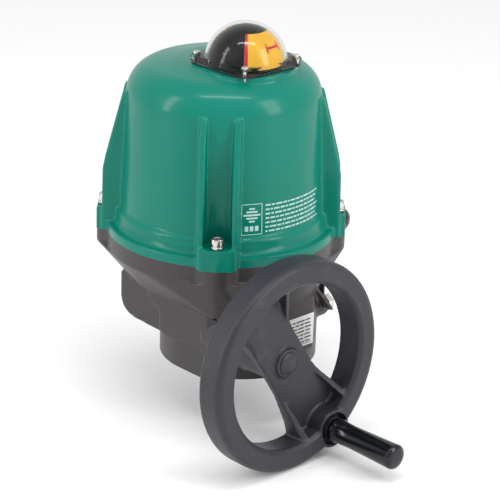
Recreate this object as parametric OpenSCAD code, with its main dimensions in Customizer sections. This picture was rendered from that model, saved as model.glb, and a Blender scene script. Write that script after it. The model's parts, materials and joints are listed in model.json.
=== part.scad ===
// Quarter-turn motorized valve actuator with handwheel.
// +Z runs up the output axis, and the origin is the centre of the mounting face.
// The handwheel is on the front (-Y), the cable glands are on the right (+X).

/* [Valve interface] */
// Radius of the round mounting boss
boss_r = 62.5; // [60:0.5:75]
// Pitch circle of the large bolt pattern
f10_pcd = 102; // [98:0.5:104]
// Tapping radius of the large bolt holes
f10_hole_r = 4.25; // [3:0.05:5.5]
// Depth of the large bolt holes
f10_depth = 18; // [12:1:22]
// Pitch circle of the small bolt pattern
f07_pcd = 70; // [66:0.5:74]
// Tapping radius of the small bolt holes
f07_hole_r = 3.4; // [2.5:0.05:4]
// Depth of the small bolt holes
f07_depth = 14; // [10:1:20]
// Radius of the locating recess
recess_r = 27.5; // [27:0.1:28.5]
// Depth of the locating recess
recess_h = 3; // [2:0.5:4]
// Across flats of the star-shaped drive socket
drive_af = 22; // [14:1:24]
// Depth of the drive socket
drive_depth = 27; // [20:1:29]

/* [Housing] */
// Height of the housing joint above the mounting face
joint_z = 96.5; // [94:0.5:116]
// Distance of the casing centre behind the output axis
case_y = 23; // [15:1:28]
// Radius of the casing flange
flange_r = 90; // [88:0.5:100]
// Half width of the flange's square part
flange_half = 74; // [72:0.5:84]
// Corner radius of the flange's square part
flange_corner = 14.5; // [10:0.5:20]
// Height of the upright flange wall
flange_h = 13.5; // [12:0.5:18]
// Height at which the taper under the flange ends
waist_z = 58; // [57:1:70]
// Wall of the casting
cast_wall = 4; // [3:0.5:5]
// Radius of the opening under the cover
mouth_r = 74; // [66:1:76]

/* [Cover] */
// Radius of the cover wall at its foot
cover_foot_r = 80; // [79:0.5:84]
// Radius of the cover wall under the shoulder
cover_top_r = 76; // [70:0.5:79]
// Height of the cover above the joint
cover_h = 139.5; // [110:0.5:170]
// Radius of the rounded shoulder
shoulder_r = 22; // [12:1:28]
// Rise of the cover's crown above the shoulder
crown_h = 3.5; // [1:0.5:8]
// Wall of the cover
cover_wall = 3.5; // [2.5:0.5:5]
// Height of the lip at the foot of the cover
lip_h = 7.5; // [5:0.5:10]
// Height of the screw pads
pad_h = 17.5; // [14:0.5:22]
// Spacing of the cover screws along X and along Y
screw_pitch = 130; // [128:1:134]
// Thickness of one buttress fin
fin_t = 5.5; // [4:0.5:7]
// Gap between the two fins of a buttress
fin_gap = 20.5; // [16:0.5:24]
// Distance of the fins' outer edge from the casing centre
fin_r = 93; // [91:0.5:96]
// Height at which the fins bend inwards, above the joint
fin_bend = 57; // [40:1:70]

/* [Sight dome] */
// Side of the square bezel
bezel_w = 65; // [62:0.5:70]
// Corner radius of the bezel
bezel_corner = 8.6; // [5:0.2:12]
// Thickness of the bezel
bezel_t = 5.5; // [4:0.5:7]
// Outer radius of the dome
dome_r = 32.3; // [31:0.1:34]
// Wall of the dome
dome_wall = 2; // [1.5:0.5:2.5]
// Radius of the position indicator
indicator_r = 28.8; // [26:0.1:29.2]

/* [Worm drive] */
// Module of the worm drive
worm_module = 2; // [2:0.05:2.1]
// Pitch radius of the worm
worm_pitch_r = 8.5; // [8:0.1:9]
// Height of the worm axis
worm_z = 38.5; // [38:0.5:40]
// Length of the worm thread
worm_len = 34; // [28:1:36]
// Face width of the toothed sector
sector_w = 14; // [12:1:15]
// Radius of the worm shaft
worm_shaft_r = 6; // [5:0.25:6.5]

/* [Gear train] */
// Module of the spur gears
spur_module = 1; // [1:0.01:1.05]
// Face width of the spur gears
spur_w = 6; // [4:0.5:8]
// Radius of the gear motor
motor_r = 18.5; // [15:0.5:19]
// Length of the motor can
motor_len = 48; // [30:1:60]
// Length of the motor's gear head
head_len = 24; // [16:1:30]

/* [Handwheel] */
// Outer radius of the handwheel
rim_r = 83; // [75:0.5:100]
// Radial width of the rim
rim_w = 18; // [14:0.5:22]
// Depth of the rim along the shaft
rim_d = 23.5; // [18:0.5:28]
// Distance of the rim's front from the output axis
rim_y = 122; // [118:1:150]
// Depth of the web below the rim's front
web_recess = 15.5; // [12:0.5:18]
// Radius of the hub
hub_r = 17; // [14:0.5:20]
// Radius of the handle
grip_r = 9.7; // [8:0.1:12]
// Length of the handle
grip_len = 64; // [50:1:90]
// Distance of the handle from the wheel's axis
grip_at = 74.5; // [66:0.5:76]
// Direction of the handle, anticlockwise from the right as seen from the front
grip_angle = -57; // [-180:1:180]

/* [End stops] */
// Distance of the stop bolts from the output axis, along Y
stop_y = 42; // [40:0.5:43]
// Height of the stop bolts
stop_z = 37; // [35:0.5:39]

/* [Cable glands] */
// Height of the cable glands
gland_z = 82.5; // [82:0.5:84]
// Place of the first cable gland, along Y
gland_y = 2; // [0:1:6]
// Spacing of the two cable glands
gland_pitch = 34; // [30:1:40]
// Radius of the entry thread
gland_thread_r = 10; // [8:0.5:10]
// Across flats of the gland's hexagon
gland_af = 24; // [22:1:26]

/* [Hidden] */
$fn = 48;
eps = 0.01;
run_gap = 0.05;      // radial gap of a shaft in its bush
part_gap = 0.3;      // gap between curved faces of different bodies

// Shaft places, in the XZ plane for shafts along Y
// Tooth counts, which set the ratios of the joints
wheel_teeth = 44;
shaft_teeth = 20;
idler_teeth = 40;
pinion_teeth = 15;
worm_x = -(worm_module * wheel_teeth / 2 + worm_pitch_r);
worm_lead = PI * worm_module;
worm_tip_r = worm_pitch_r + worm_module;
worm_root_r = worm_pitch_r - 1.2 * worm_module;
sector_pitch_r = worm_module * wheel_teeth / 2;
sector_tip_r = sector_pitch_r + worm_module;
lead_angle = atan(worm_lead / (2 * PI * worm_pitch_r));
idler_dist = spur_module * (shaft_teeth + idler_teeth) / 2;
motor_dist = spur_module * (idler_teeth + pinion_teeth) / 2;
idler_dir = 75;
motor_dir = 55;
idler_x = worm_x + idler_dist * cos(idler_dir);
idler_z = worm_z + idler_dist * sin(idler_dir);
motor_x = idler_x + motor_dist * cos(motor_dir);
motor_z = idler_z + motor_dist * sin(motor_dir);

// Heights inside the gearbox
chamber_r = sector_tip_r + 3;
chamber_z0 = worm_z - sector_w / 2 - 3.5;
chamber_z1 = worm_z + 11.5;
plate_t = 4;
plate_z1 = chamber_z1 + plate_t;
plate_r = chamber_r + 7;
sector_z0 = worm_z - sector_w / 2;
sector_z1 = worm_z + sector_w / 2;

// Output shaft
journal_r = 22;
lower_bush_r = 25;
seal_r = 26.5;
seat_r = 17;
upper_journal_r = 12;
upper_bush_r = 15;
thin_shaft_r = 5;
socket_z0 = recess_h + 0.1;

// Worm shaft stations along Y
front_face_y = -boss_r;
collar_y = front_face_y - 3.5;
gear_y = -33;
front_bush_y = [collar_y + 6.5, -37];
rear_bush_y = [20, 34];
front_bore_r = 12;
rear_bore_r = 9;
hub_back_y = collar_y - 4.5;
web_y = -rim_y + web_recess;
hub_front_y = web_y - 3;
shaft_front_y = hub_front_y + 6;

// Cover heights
cover_z = joint_z;
shoulder_z = cover_z + cover_h - crown_h - shoulder_r;
top_z = cover_z + cover_h;
crown_edge_z = top_z - crown_h;
screw_half = screw_pitch / 2;
pad_z = cover_z + pad_h;
bezel_z = top_z + 1;
dome_seal_t = 1;
seal_groove_r = 78;
cord_r = 1.5;
m6_r = 3;

// Gear frame and motor
frame_y = [-21, -18];
motor_y0 = frame_y[1];
board_x = 38;
cam_z = 152;
cam_r = 16;
cam_h = 6;
cam_step = 8;

module at_corners(half, y0 = case_y) {
  for (sx = [-1, 1], sy = [-1, 1]) translate([sx * half, y0 + sy * half, 0]) children();
}

module tube(r1, r0, h) {
  difference() {
    cylinder(r = r1, h = h);
    translate([0, 0, -eps]) cylinder(r = r0, h = h + 2 * eps);
  }
}

// Cylinder along +Y from y0 to y1
module along_y(x, z, y0, y1, r) {
  translate([x, y1, z]) rotate([90, 0, 0]) cylinder(r = r, h = y1 - y0);
}

// Cylinder along +X from x0 to x1
module along_x(y, z, x0, x1, r) {
  translate([x0, y, z]) rotate([0, 90, 0]) cylinder(r = r, h = x1 - x0);
}

module box(x, y, z) {
  translate([x[0], y[0], z[0]]) cube([x[1] - x[0], y[1] - y[0], z[1] - z[0]]);
}

module rounded_square(half, r) {
  square([2 * half, 2 * (half - r)], center = true);
  square([2 * (half - r), 2 * half], center = true);
  for (sx = [-1, 1], sy = [-1, 1]) translate([sx * (half - r), sy * (half - r)]) circle(r = r);
}

module flange_outline(grow = 0) {
  translate([0, case_y]) {
    circle(r = flange_r + grow, $fn = 96);
    rounded_square(flange_half + grow, flange_corner + grow);
  }
}

// ---- Involute gears ----
function inv_point(rb, t, turn) = [
  rb * (cos(t + turn) + t * PI / 180 * sin(t + turn)),
  rb * (sin(t + turn) - t * PI / 180 * cos(t + turn))];
function inv_angle(rb, r) = r <= rb ? 0 : sqrt(pow(r / rb, 2) - 1) * 180 / PI;

// Outline of one tooth centred on +X; thin is taken off the tooth at the pitch circle
function tooth_half(m, n, thin) = 90 / n - thin * 90 / (PI * m * n / 2)
  + (inv_angle(m * n / 2 * cos(20), m * n / 2) - 20);
function tooth_side(m, n, thin, steps = 4) = let (
    r = m * n / 2, rb = r * cos(20), half = tooth_half(m, n, thin),
    r0 = r - 1.1 * m, r1 = r + 0.8 * m, t1 = inv_angle(rb, r1), t0 = inv_angle(rb, max(r0, rb)))
  concat(r0 < rb ? [[r0 * cos(-half), r0 * sin(-half)]] : [],
    [for (i = [0:steps]) inv_point(rb, t0 + (t1 - t0) * i / steps, -half)]);
function flip(points) = [for (i = [len(points) - 1:-1:0]) [points[i][0], -points[i][1]]];

module spur_outline(m, n, phase, thin = 0.16) {
  side = tooth_side(m, n, thin);
  tooth = concat(side, flip(side));
  polygon([for (k = [0:n - 1], p = tooth) let (a = phase + 360 * k / n)
    [p[0] * cos(a) - p[1] * sin(a), p[0] * sin(a) + p[1] * cos(a)]]);
}

// Spur gear whose shaft runs along Y, from y0 to y0 + spur_w
module spur_y(x, z, y0, n, phase, bore) {
  translate([x, y0 + spur_w, z]) rotate([90, 0, 0]) difference() {
    linear_extrude(spur_w) spur_outline(spur_module, n, phase);
    translate([0, 0, -eps]) cylinder(r = bore, h = spur_w + 2 * eps);
  }
}

// Phase that puts gear b in mesh with gear a, which lies in direction dir from b's partner
function mesh_phase(phase_a, n_a, n_b, dir) =
  dir + 180 - 360 / n_b * (0.5 - (dir - phase_a) * n_a / 360);

// ---- Housing ----
module flange_slab() {
  translate([0, 0, joint_z - flange_h]) linear_extrude(flange_h) flange_outline();
}

// Round posts whose hull is the outline at the end of the taper, taken in by inset
module waist_posts(inset, h) {
  cylinder(r = boss_r - inset, h = h, $fn = 64);
  for (p = [[-66, -43], [-66, 36], [-50, 63], [-50, front_face_y + 7], [20, 63]])
    translate([p[0], p[1], 0]) cylinder(r = post_r(p) - inset, h = h, $fn = 32);
}
function post_r(p) = p[1] > 60 ? 10 : p[0] < -60 ? 4.5 : 7;

module housing_taper() {
  hull() {
    translate([0, case_y, joint_z - flange_h]) cylinder(r = flange_r, h = 1, $fn = 96);
    at_corners(flange_half - flange_corner)
      translate([0, 0, joint_z - flange_h]) cylinder(r = flange_corner, h = 1, $fn = 32);
    translate([0, 0, waist_z]) waist_posts(0, 0.5);
  }
}

module housing_bowl() {
  hull() {
    translate([0, case_y, joint_z - flange_h]) cylinder(r = mouth_r, h = flange_h + 1, $fn = 64);
    translate([0, 0, plate_z1]) waist_bowl(0.1);
  }
}

// Posts of the bowl's floor, one wall inside the casting
module waist_bowl(h) {
  cylinder(r = boss_r - cast_wall - 1.5, h = h, $fn = 64);
  for (p = [[-61, -39], [-61, 34], [-48, 60], [20, 60]])
    translate([p[0], p[1], 0]) cylinder(r = 4, h = h, $fn = 32);
}

front_flat_x = 22;
front_flat_z = 14;

// Block round the worm, on the left
module worm_block() {
  translate([-67.8, 0, 0]) rotate([90, 0, 90]) linear_extrude(40)
    polygon([[-36, waist_z + 2], [-36, 27.5], [-32, 25], [12, 24], [18, 26], [20.5, 30],
      [20.5, 44.5], [30, 46.5], [38, waist_z + 2]]);
  translate([0, 0, 24]) linear_extrude(waist_z - 23)
    polygon([[-67.8, -35], [-50, front_face_y], [-30, front_face_y], [-30, -30], [-67.8, -30]]);
}

// Box behind the worm block, which holds the capacitor
module rear_box() {
  translate([-61.7, 0, 0]) rotate([90, 0, 90]) linear_extrude(62)
    polygon([[18, waist_z + 1], [18, 22], [56, 23.5], [64, 25.5], [70, 30], [73, 37], [73, waist_z + 1]]);
}

module housing_outside() {
  flange_slab();
  housing_taper();
  cylinder(r = boss_r, h = waist_z + 1, $fn = 96);
  worm_block();
  rear_box();
  // Flat front face that carries the nameplate, and the stop bolts' bosses
  box([-50, front_flat_x], [front_face_y, 0], [front_flat_z, waist_z + 1]);
  for (s = [-1, 1]) along_x(s * stop_y, stop_z, 20, 51, 8.5);
  // Flat pad on the left of the boss
  box([-boss_r, 0], [-30, 0], [0, 30]);
  // Collar round the worm shaft
  along_y(worm_x, worm_z, collar_y, -30, 16.5);
  // Pad for the cable glands
  box([60, 93], [gland_y - 15, gland_y + gland_pitch + 15], [68, joint_z]);
}

module housing_hollows() {
  housing_bowl();
  // Gear chamber and the seat of its cover
  translate([0, 0, chamber_z0]) cylinder(r = chamber_r, h = joint_z);
  translate([0, 0, chamber_z1]) cylinder(r = plate_r + part_gap, h = 30);
  // Worm chamber
  along_y(worm_x, worm_z, -22, rear_bush_y[0] - 0.5, front_bore_r);
  // Gear slot above the worm shaft
  box([worm_x - 11.6, -20], [-35.5, -22], [worm_z, plate_z1 + 20]);
  along_y(idler_x, idler_z, -35.5, -22, idler_teeth * spur_module / 2 + 1.8);
  along_y(worm_x, worm_z, -35.5, -20, 11.6);
  // Bores of the worm shaft
  along_y(worm_x, worm_z, collar_y - 1, -30, front_bore_r);
  along_y(worm_x, worm_z, rear_bush_y[0] - 1, rear_bush_y[1] + 1, rear_bore_r);
  // Rear box
  box([-61.7 + cast_wall, -10], [37, 73 - cast_wall], [30, plate_z1 + 5]);
  // Output bores
  translate([0, 0, -1]) cylinder(r = recess_r, h = recess_h + 1);
  translate([0, 0, recess_h - eps]) cylinder(r = seal_r, h = 6.15);
  cylinder(r = lower_bush_r, h = chamber_z0 + 1);
}

module housing_holes() {
  for (a = [45:90:315]) rotate([0, 0, a]) {
    translate([f10_pcd / 2, 0, -1]) cylinder(r = f10_hole_r, h = f10_depth + 1);
    translate([f07_pcd / 2, 0, -1]) cylinder(r = f07_hole_r, h = f07_depth + 1);
  }
  for (a = plate_screw_dirs) rotate([0, 0, a])
    translate([plate_screw_r, 0, chamber_z1 - 10]) cylinder(r = 2.05, h = 11);
  at_corners(screw_half) translate([0, 0, joint_z - 16]) cylinder(r = m6_r + run_gap, h = 20);
  translate([0, case_y, joint_z - 2 * cord_r]) tube(seal_groove_r + cord_r, seal_groove_r - cord_r, 5);
  for (s = [-1, 1]) along_x(s * stop_y, stop_z, 0, 70, 4 + run_gap);
  for (i = [0, 1]) along_x(gland_y + i * gland_pitch, gland_z, 40, 94, gland_thread_r + run_gap);
}

plate_screw_r = chamber_r + 3.5;
plate_screw_dirs = [-70, 20, 60, 120];

module housing() {
  color([0.31, 0.29, 0.3]) difference() {
    housing_outside();
    housing_hollows();
    housing_holes();
  }
}

// ---- Cover ----
// Half section of the cover's body; d moves the wall inwards
module cover_section(d) {
  r1 = cover_top_r - d;
  translate([0, cover_z]) polygon(concat(
    [[0, d > 0 ? -1 : 2], [cover_foot_r - d, d > 0 ? -1 : 2], [cover_foot_r - d, 22]],
    [for (a = [0:10:80]) [r1 - shoulder_r + d + (shoulder_r - d) * cos(a),
      cover_h - crown_h - shoulder_r + (shoulder_r - d) * sin(a)]],
    [[bezel_w / 2, cover_h - d], [0, cover_h - d]]));
}

module cover_body(d) {
  translate([0, case_y, 0]) rotate_extrude($fn = 96) cover_section(d);
}

// One buttress: two fins and the screw pad between them
module buttress() {
  w = fin_gap / 2 + fin_t;
  for (s = [0, 1]) mirror([0, s, 0]) translate([0, fin_gap / 2 + fin_t, cover_z]) rotate([90, 0, 0])
    linear_extrude(fin_t) polygon([[60, 1], [fin_r + 1, 1], [fin_r, fin_bend - 6], [fin_r - 2, fin_bend + 4],
      [cover_top_r + 1, cover_h - 24], [60, cover_h - 24]]);
  translate([60, -w, cover_z]) cube([fin_r + 3 - 60, 2 * w, pad_h]);
}

// Recess between the fins
module channel() {
  translate([fin_r + 2, 0, pad_z]) cylinder(r = fin_gap / 2 + 0.2, h = fin_bend);
}

module corner_dirs() {
  translate([0, case_y, 0]) for (a = [45:90:315]) rotate([0, 0, a]) children();
}

module cover_outside() {
  cover_body(0);
  translate([0, 0, cover_z]) linear_extrude(lip_h) flange_outline();
  // Step above the lip
  translate([0, case_y, cover_z]) rotate_extrude($fn = 96)
    polygon([[70, 2], [flange_r - 5, 2], [flange_r - 5, lip_h + 2], [cover_foot_r + 2.5, 11.5],
      [cover_foot_r + 2, 19], [cover_foot_r - 2, 20], [70, 20]]);
  corner_dirs() buttress();
  translate([0, 0, cover_z]) linear_extrude(pad_h) intersection() {
    flange_outline();
    translate([0, case_y]) for (a = [45, 135]) rotate(a)
      square([220, 2 * (fin_gap / 2 + fin_t)], center = true);
  }
  // Seat of the dome
  translate([0, 0, top_z - 8]) cylinder(r = dome_r + 6, h = 8);
}

module cover() {
  color([0.05, 0.47, 0.4]) difference() {
    cover_outside();
    cover_body(cover_wall);
    corner_dirs() channel();
    at_corners(screw_half) {
      translate([0, 0, cover_z - 1]) cylinder(r = m6_r + 0.3, h = pad_h + 2);
      translate([0, 0, pad_z]) cylinder(r = 6.5, h = 12);
    }
    translate([0, 0, top_z]) linear_extrude(10) square(150, center = true);
    translate([0, 0, top_z - 12]) cylinder(r = bush_r, h = 14);
    at_corners(dome_screw_half, 0) translate([0, 0, top_z - 6]) cylinder(r = 1.5 + run_gap, h = 7);
  }
}

bush_r = 9;
dome_screw_half = bezel_w / 2 - 6;

module cover_seal() {
  color([0.08, 0.08, 0.08]) translate([0, case_y, joint_z - cord_r])
    rotate_extrude($fn = 96) translate([seal_groove_r, 0]) circle(r = cord_r - 0.1, $fn = 24);
}

module socket_screw(r, len, head_r, head_h, hex) {
  translate([0, 0, -len]) cylinder(r = r, h = len + eps);
  difference() {
    cylinder(r = head_r, h = head_h);
    translate([0, 0, head_h / 2]) cylinder(r = hex, h = head_h, $fn = 6);
  }
}

module cover_screws() {
  color([0.75, 0.75, 0.74]) at_corners(screw_half)
    translate([0, 0, pad_z + 1.5]) socket_screw(m6_r, pad_h + 14, 5, 6, 2.9);
}

module cover_washers() {
  color([0.7, 0.7, 0.7]) at_corners(screw_half) translate([0, 0, pad_z]) tube(5.4, m6_r + 0.2, 1.5);
}

// ---- Sight dome ----
module dome() {
  color([0.85, 0.9, 0.92, 0.35]) translate([0, 0, bezel_z]) difference() {
    union() {
      linear_extrude(bezel_t) rounded_square(bezel_w / 2, bezel_corner);
      intersection() {
        sphere(r = dome_r, $fn = 96);
        cylinder(r = dome_r + 1, h = dome_r + 1);
      }
    }
    sphere(r = dome_r - dome_wall, $fn = 96);
    at_corners(dome_screw_half, 0) translate([0, 0, -1]) cylinder(r = 1.8, h = bezel_t + 2);
  }
}

module dome_seal() {
  color([0.08, 0.08, 0.08]) translate([0, 0, top_z]) difference() {
    linear_extrude(dome_seal_t) rounded_square(bezel_w / 2 - 1, bezel_corner - 1);
    translate([0, 0, -1]) cylinder(r = dome_r - dome_wall - 0.5, h = 3);
    at_corners(dome_screw_half, 0) translate([0, 0, -1]) cylinder(r = 1.8, h = 4);
  }
}

module dome_screws() {
  color([0.75, 0.75, 0.74]) at_corners(dome_screw_half, 0)
    translate([0, 0, bezel_z + bezel_t]) socket_screw(1.5, bezel_t + 6, 2.75, 2, 1.3);
}

module nameplate() {
  color([0.88, 0.88, 0.86]) box([-13, 21], [front_face_y - 0.6, front_face_y], [19, 45]);
}

// ---- Gearbox ----
module gear_cover() {
  color([0.62, 0.63, 0.64]) difference() {
    union() {
      translate([0, 0, chamber_z1]) cylinder(r = plate_r, h = plate_t);
      translate([0, 0, chamber_z1 - 1]) cylinder(r = upper_bush_r + 4, h = plate_t + 5);
    }
    translate([0, 0, chamber_z1 - 2]) cylinder(r = upper_bush_r, h = plate_t + 10);
    for (a = plate_screw_dirs) rotate([0, 0, a])
      translate([plate_screw_r, 0, chamber_z1 - 1]) cylinder(r = 2.7, h = plate_t + 2);
    box([-80, -20], [-38, -21.5], [chamber_z1 - 2, plate_z1 + 1]);
    translate(earth_at) translate([0, 0, -7]) cylinder(r = 2 + run_gap, h = 8);
  }
}

module gear_cover_screws() {
  color([0.6, 0.6, 0.6]) for (a = plate_screw_dirs) rotate([0, 0, a])
    translate([plate_screw_r, 0, plate_z1]) socket_screw(2, plate_t + 9, 3.3, 4, 1.8);
}

module output_bush_lower() {
  color([0.7, 0.52, 0.3]) translate([0, 0, recess_h + 6.2])
    tube(lower_bush_r, journal_r + run_gap, chamber_z0 - recess_h - 6.4);
}

module output_bush_upper() {
  color([0.7, 0.52, 0.3]) translate([0, 0, chamber_z1 - 1])
    tube(upper_bush_r, upper_journal_r + run_gap, plate_t + 5);
}

module output_seal() {
  color([0.08, 0.08, 0.08]) translate([0, 0, recess_h]) tube(seal_r, journal_r + run_gap, 6);
}

module star_socket(h) {
  for (a = [0, 45]) rotate([0, 0, a]) translate([-drive_af / 2, -drive_af / 2, 0])
    cube([drive_af, drive_af, h]);
}

module output_shaft() {
  color([0.55, 0.56, 0.58]) difference() {
    union() {
      translate([0, 0, socket_z0]) cylinder(r = journal_r, h = sector_z0 - socket_z0);
      cylinder_from(sector_z0 - eps, sector_z1 + 0.5, seat_r);
      cylinder_from(sector_z1, plate_z1 + 6, upper_journal_r);
    }
    translate([0, 0, -1]) star_socket(drive_depth + 1);
    cylinder_from(plate_z1 - 8, plate_z1 + 8, thin_shaft_r);
    translate([seat_r - 4, -4, sector_z0 - eps]) cube([8, 8, sector_w + 5]);
  }
}

module cylinder_from(z0, z1, r) {
  translate([0, 0, z0]) cylinder(r = r, h = z1 - z0);
}

module sector_key() {
  color([0.5, 0.5, 0.5]) translate([seat_r - 4, -4, sector_z0]) cube([7.5, 8, sector_w]);
}

// One slanted tooth of the sector, on +X
module sector_tooth() {
  n = wheel_teeth;
  side = tooth_side(worm_module, n, 0.3);
  root = sector_pitch_r - 1.1 * worm_module - 1.2;
  tooth = concat([[root, side[0][1]]], side, flip(side), [[root, -side[0][1]]]);
  translate([sector_pitch_r, 0, worm_z]) rotate([lead_angle, 0, 0])
    translate([-sector_pitch_r, 0, -sector_w / 2 - 1]) linear_extrude(sector_w + 2) polygon(tooth);
}

// The sector reaches past the outer teeth on both sides of the quarter turn
sector_a0 = 161.5;
sector_a1 = 288.5;
sector_root_r = sector_pitch_r - 1.15 * worm_module;
sector_hub_r = 27;

module sector_plate() {
  circle(r = sector_hub_r);
  intersection() {
    circle(r = sector_root_r, $fn = 96);
    polygon(concat([[0, 0]], [for (i = [0:4]) let (a = sector_a0 + (sector_a1 - sector_a0) * i / 4)
      [2 * sector_root_r * cos(a), 2 * sector_root_r * sin(a)]]));
  }
}

module toothed_sector() {
  color([0.72, 0.55, 0.28]) difference() {
    union() {
      translate([0, 0, sector_z0]) linear_extrude(sector_w) sector_plate();
      intersection() {
        for (k = [-2:12]) rotate([0, 0, 180 + (k + 0.5) * 360 / wheel_teeth]) sector_tooth();
        cylinder_from(sector_z0, sector_z1, sector_tip_r + 2);
      }
    }
    cylinder_from(sector_z0 - 1, sector_z1 + 1, seat_r);
    translate([seat_r - 4, -4, sector_z0 - 1]) cube([7.5, 8, sector_w + 2]);
  }
}

module indicator_shaft() {
  color([0.7, 0.7, 0.7]) cylinder_from(plate_z1 - 8, top_z + 4, thin_shaft_r);
}

module indicator_bush() {
  color([0.85, 0.85, 0.8]) translate([0, 0, top_z - 9]) tube(bush_r, thin_shaft_r + run_gap, 8);
}

// Part of the indicator between two directions, as a thick quarter of a ball
module indicator_part(a0, a1, r, r_in, z0) {
  translate([0, 0, bezel_z + 0.5]) intersection() {
    rotate([0, 0, a0]) rotate_extrude(angle = a1 - a0, $fn = 96)
      polygon(concat([for (t = [0:6:90]) [r * cos(t), r * sin(t)]],
        [for (t = [90:-6:0]) [r_in * cos(t), r_in * sin(t)]]));
    translate([0, 0, z0]) cylinder(r = 40, h = 60);
  }
}

module indicator_black() {
  color([0.06, 0.05, 0.06]) difference() {
    union() {
      translate([0, 0, bezel_z + 0.5]) intersection() {
        sphere(r = indicator_r - 0.8, $fn = 96);
        cylinder(r = 40, h = 40);
      }
      translate([0, 0, top_z + 0.3]) cylinder(r = 7.5, h = 3);
    }
    cylinder_from(top_z - 2, top_z + 4, thin_shaft_r);
  }
}

yellow_from = -131;
module indicator_shell(a0, a1) {
  indicator_part(a0, a1, indicator_r, indicator_r - 0.75, 1.5);
}

module indicator_yellow() {
  color([0.92, 0.76, 0.22]) for (s = [0, 180]) difference() {
    indicator_shell(yellow_from + s, yellow_from + 88 + s);
    translate([0, 0, bezel_z + indicator_r * sin(62)]) cylinder(r = 40, h = 40);
  }
}

module indicator_red() {
  color([0.75, 0.08, 0.12]) for (s = [0, 180]) difference() {
    indicator_shell(yellow_from - 6 + s, yellow_from + s);
    translate([0, 0, bezel_z + indicator_r * sin(62)]) cylinder(r = 40, h = 40);
  }
}

module travel_cams() {
  color([0.85, 0.3, 0.15]) for (i = [0:3]) translate([0, 0, cam_z + i * cam_step]) difference() {
    union() {
      cylinder(r = cam_r - 2, h = cam_h);
      rotate([0, 0, i * 90]) rotate_extrude(angle = 100) translate([8, 0]) square([cam_r - 8, cam_h]);
    }
    translate([0, 0, -1]) cylinder(r = thin_shaft_r, h = cam_h + 2);
  }
}

// ---- Worm shaft ----
module worm_shaft() {
  color([0.7, 0.71, 0.72]) along_y(worm_x, worm_z, shaft_front_y, rear_bush_y[1], worm_shaft_r);
}

// Left-handed thread whose crest faces the output axis at y = 0
module worm_thread() {
  seg = 24;
  turns = floor((worm_len - 5) / worm_lead);
  n = turns * seg;
  half_root = worm_lead / 4 + 0.85 * worm_module * tan(20) + 0.1;
  half_tip = worm_lead / 4 - 0.8 * worm_module * tan(20) - 0.35;
  r0 = worm_root_r - 0.4;
  points = [for (i = [0:n]) let (a = 360 * i / seg, y = worm_lead * (i / seg - turns / 2))
    for (p = [[r0, -half_root], [worm_tip_r, -half_tip], [worm_tip_r, half_tip], [r0, half_root]])
      [p[0] * cos(a + 180 * turns), -p[0] * sin(a + 180 * turns), y + p[1]]];
  faces = concat([[0, 1, 2, 3]], [[for (k = [3:-1:0]) 4 * n + k]],
    [for (i = [0:n - 1], k = [0:3]) let (b = 4 * i, k1 = (k + 1) % 4) each
      [[b + k, b + 4 + k, b + k1], [b + k1, b + 4 + k, b + 4 + k1]]]);
  polyhedron(points, faces);
}

module worm() {
  color([0.6, 0.6, 0.62]) translate([worm_x, 0, worm_z]) rotate([90, 0, 0]) difference() {
    union() {
      translate([0, 0, -worm_len / 2]) cylinder(r = worm_root_r + 0.6, h = worm_len);
      worm_thread();
    }
    translate([0, 0, -worm_len]) cylinder(r = worm_shaft_r, h = 2 * worm_len);
  }
}

module shaft_gear() {
  color([0.7, 0.6, 0.35]) spur_y(worm_x, worm_z, gear_y, shaft_teeth, 0, worm_shaft_r);
}

module worm_bush_front() {
  color([0.7, 0.52, 0.3]) difference() {
    along_y(worm_x, worm_z, front_bush_y[0], front_bush_y[1], front_bore_r);
    along_y(worm_x, worm_z, front_bush_y[0] - 1, front_bush_y[1] + 1, worm_shaft_r + run_gap);
  }
}

module worm_bush_rear() {
  color([0.7, 0.52, 0.3]) difference() {
    along_y(worm_x, worm_z, rear_bush_y[0], rear_bush_y[1], rear_bore_r);
    along_y(worm_x, worm_z, rear_bush_y[0] - 1, rear_bush_y[1] + 1, worm_shaft_r + run_gap);
  }
}

module worm_seal() {
  color([0.08, 0.08, 0.08]) difference() {
    along_y(worm_x, worm_z, collar_y + 0.5, front_bush_y[0] - 0.5, front_bore_r);
    along_y(worm_x, worm_z, collar_y - 1, front_bush_y[0] + 1, worm_shaft_r + run_gap);
  }
}

// ---- Handwheel ----
grip_x = worm_x + grip_at * cos(grip_angle);
grip_z = worm_z + grip_at * sin(grip_angle);

module handwheel() {
  color([0.21, 0.22, 0.25]) difference() {
    union() {
      translate([worm_x, -rim_y + rim_d, worm_z]) rotate([90, 0, 0]) {
        // Rim
        rotate_extrude($fn = 96) polygon([[rim_r - rim_w + 1, 0], [rim_r - 3, 0], [rim_r, 3],
          [rim_r, rim_d - 4], [rim_r - 4, rim_d], [rim_r - rim_w + 3, rim_d], [rim_r - rim_w, rim_d - 3]]);
        // Web, in line with the handle
        rotate([0, 0, grip_angle]) translate([0, 0, 1]) difference() {
          linear_extrude(rim_d - web_recess - 1) polygon([[-rim_r + 6, -30], [-50, -24], [-20, -19.5],
            [20, -19.5], [50, -24], [rim_r - 6, -30], [rim_r - 6, 30], [50, 24], [20, 19.5], [-20, 19.5],
            [-50, 24], [-rim_r + 6, 30]]);
          difference() {
            translate([0, 0, -1]) cylinder(r = rim_r + 20, h = rim_d);
            translate([0, 0, -2]) cylinder(r = rim_r - 3, h = rim_d + 4, $fn = 96);
          }
        }
        // Boss of the handle
        translate([grip_at * cos(grip_angle), grip_at * sin(grip_angle), 0]) cylinder(r = 15, h = rim_d);
      }
      // Hub
      along_y(worm_x, worm_z, hub_front_y, hub_back_y, hub_r);
    }
    along_y(worm_x, worm_z, shaft_front_y, hub_back_y + 1, worm_shaft_r);
    along_y(grip_x, grip_z, -rim_y - 1, spindle_y, spindle_r);
  }
}

spindle_r = 4;
spindle_y = -rim_y + 18;

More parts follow.
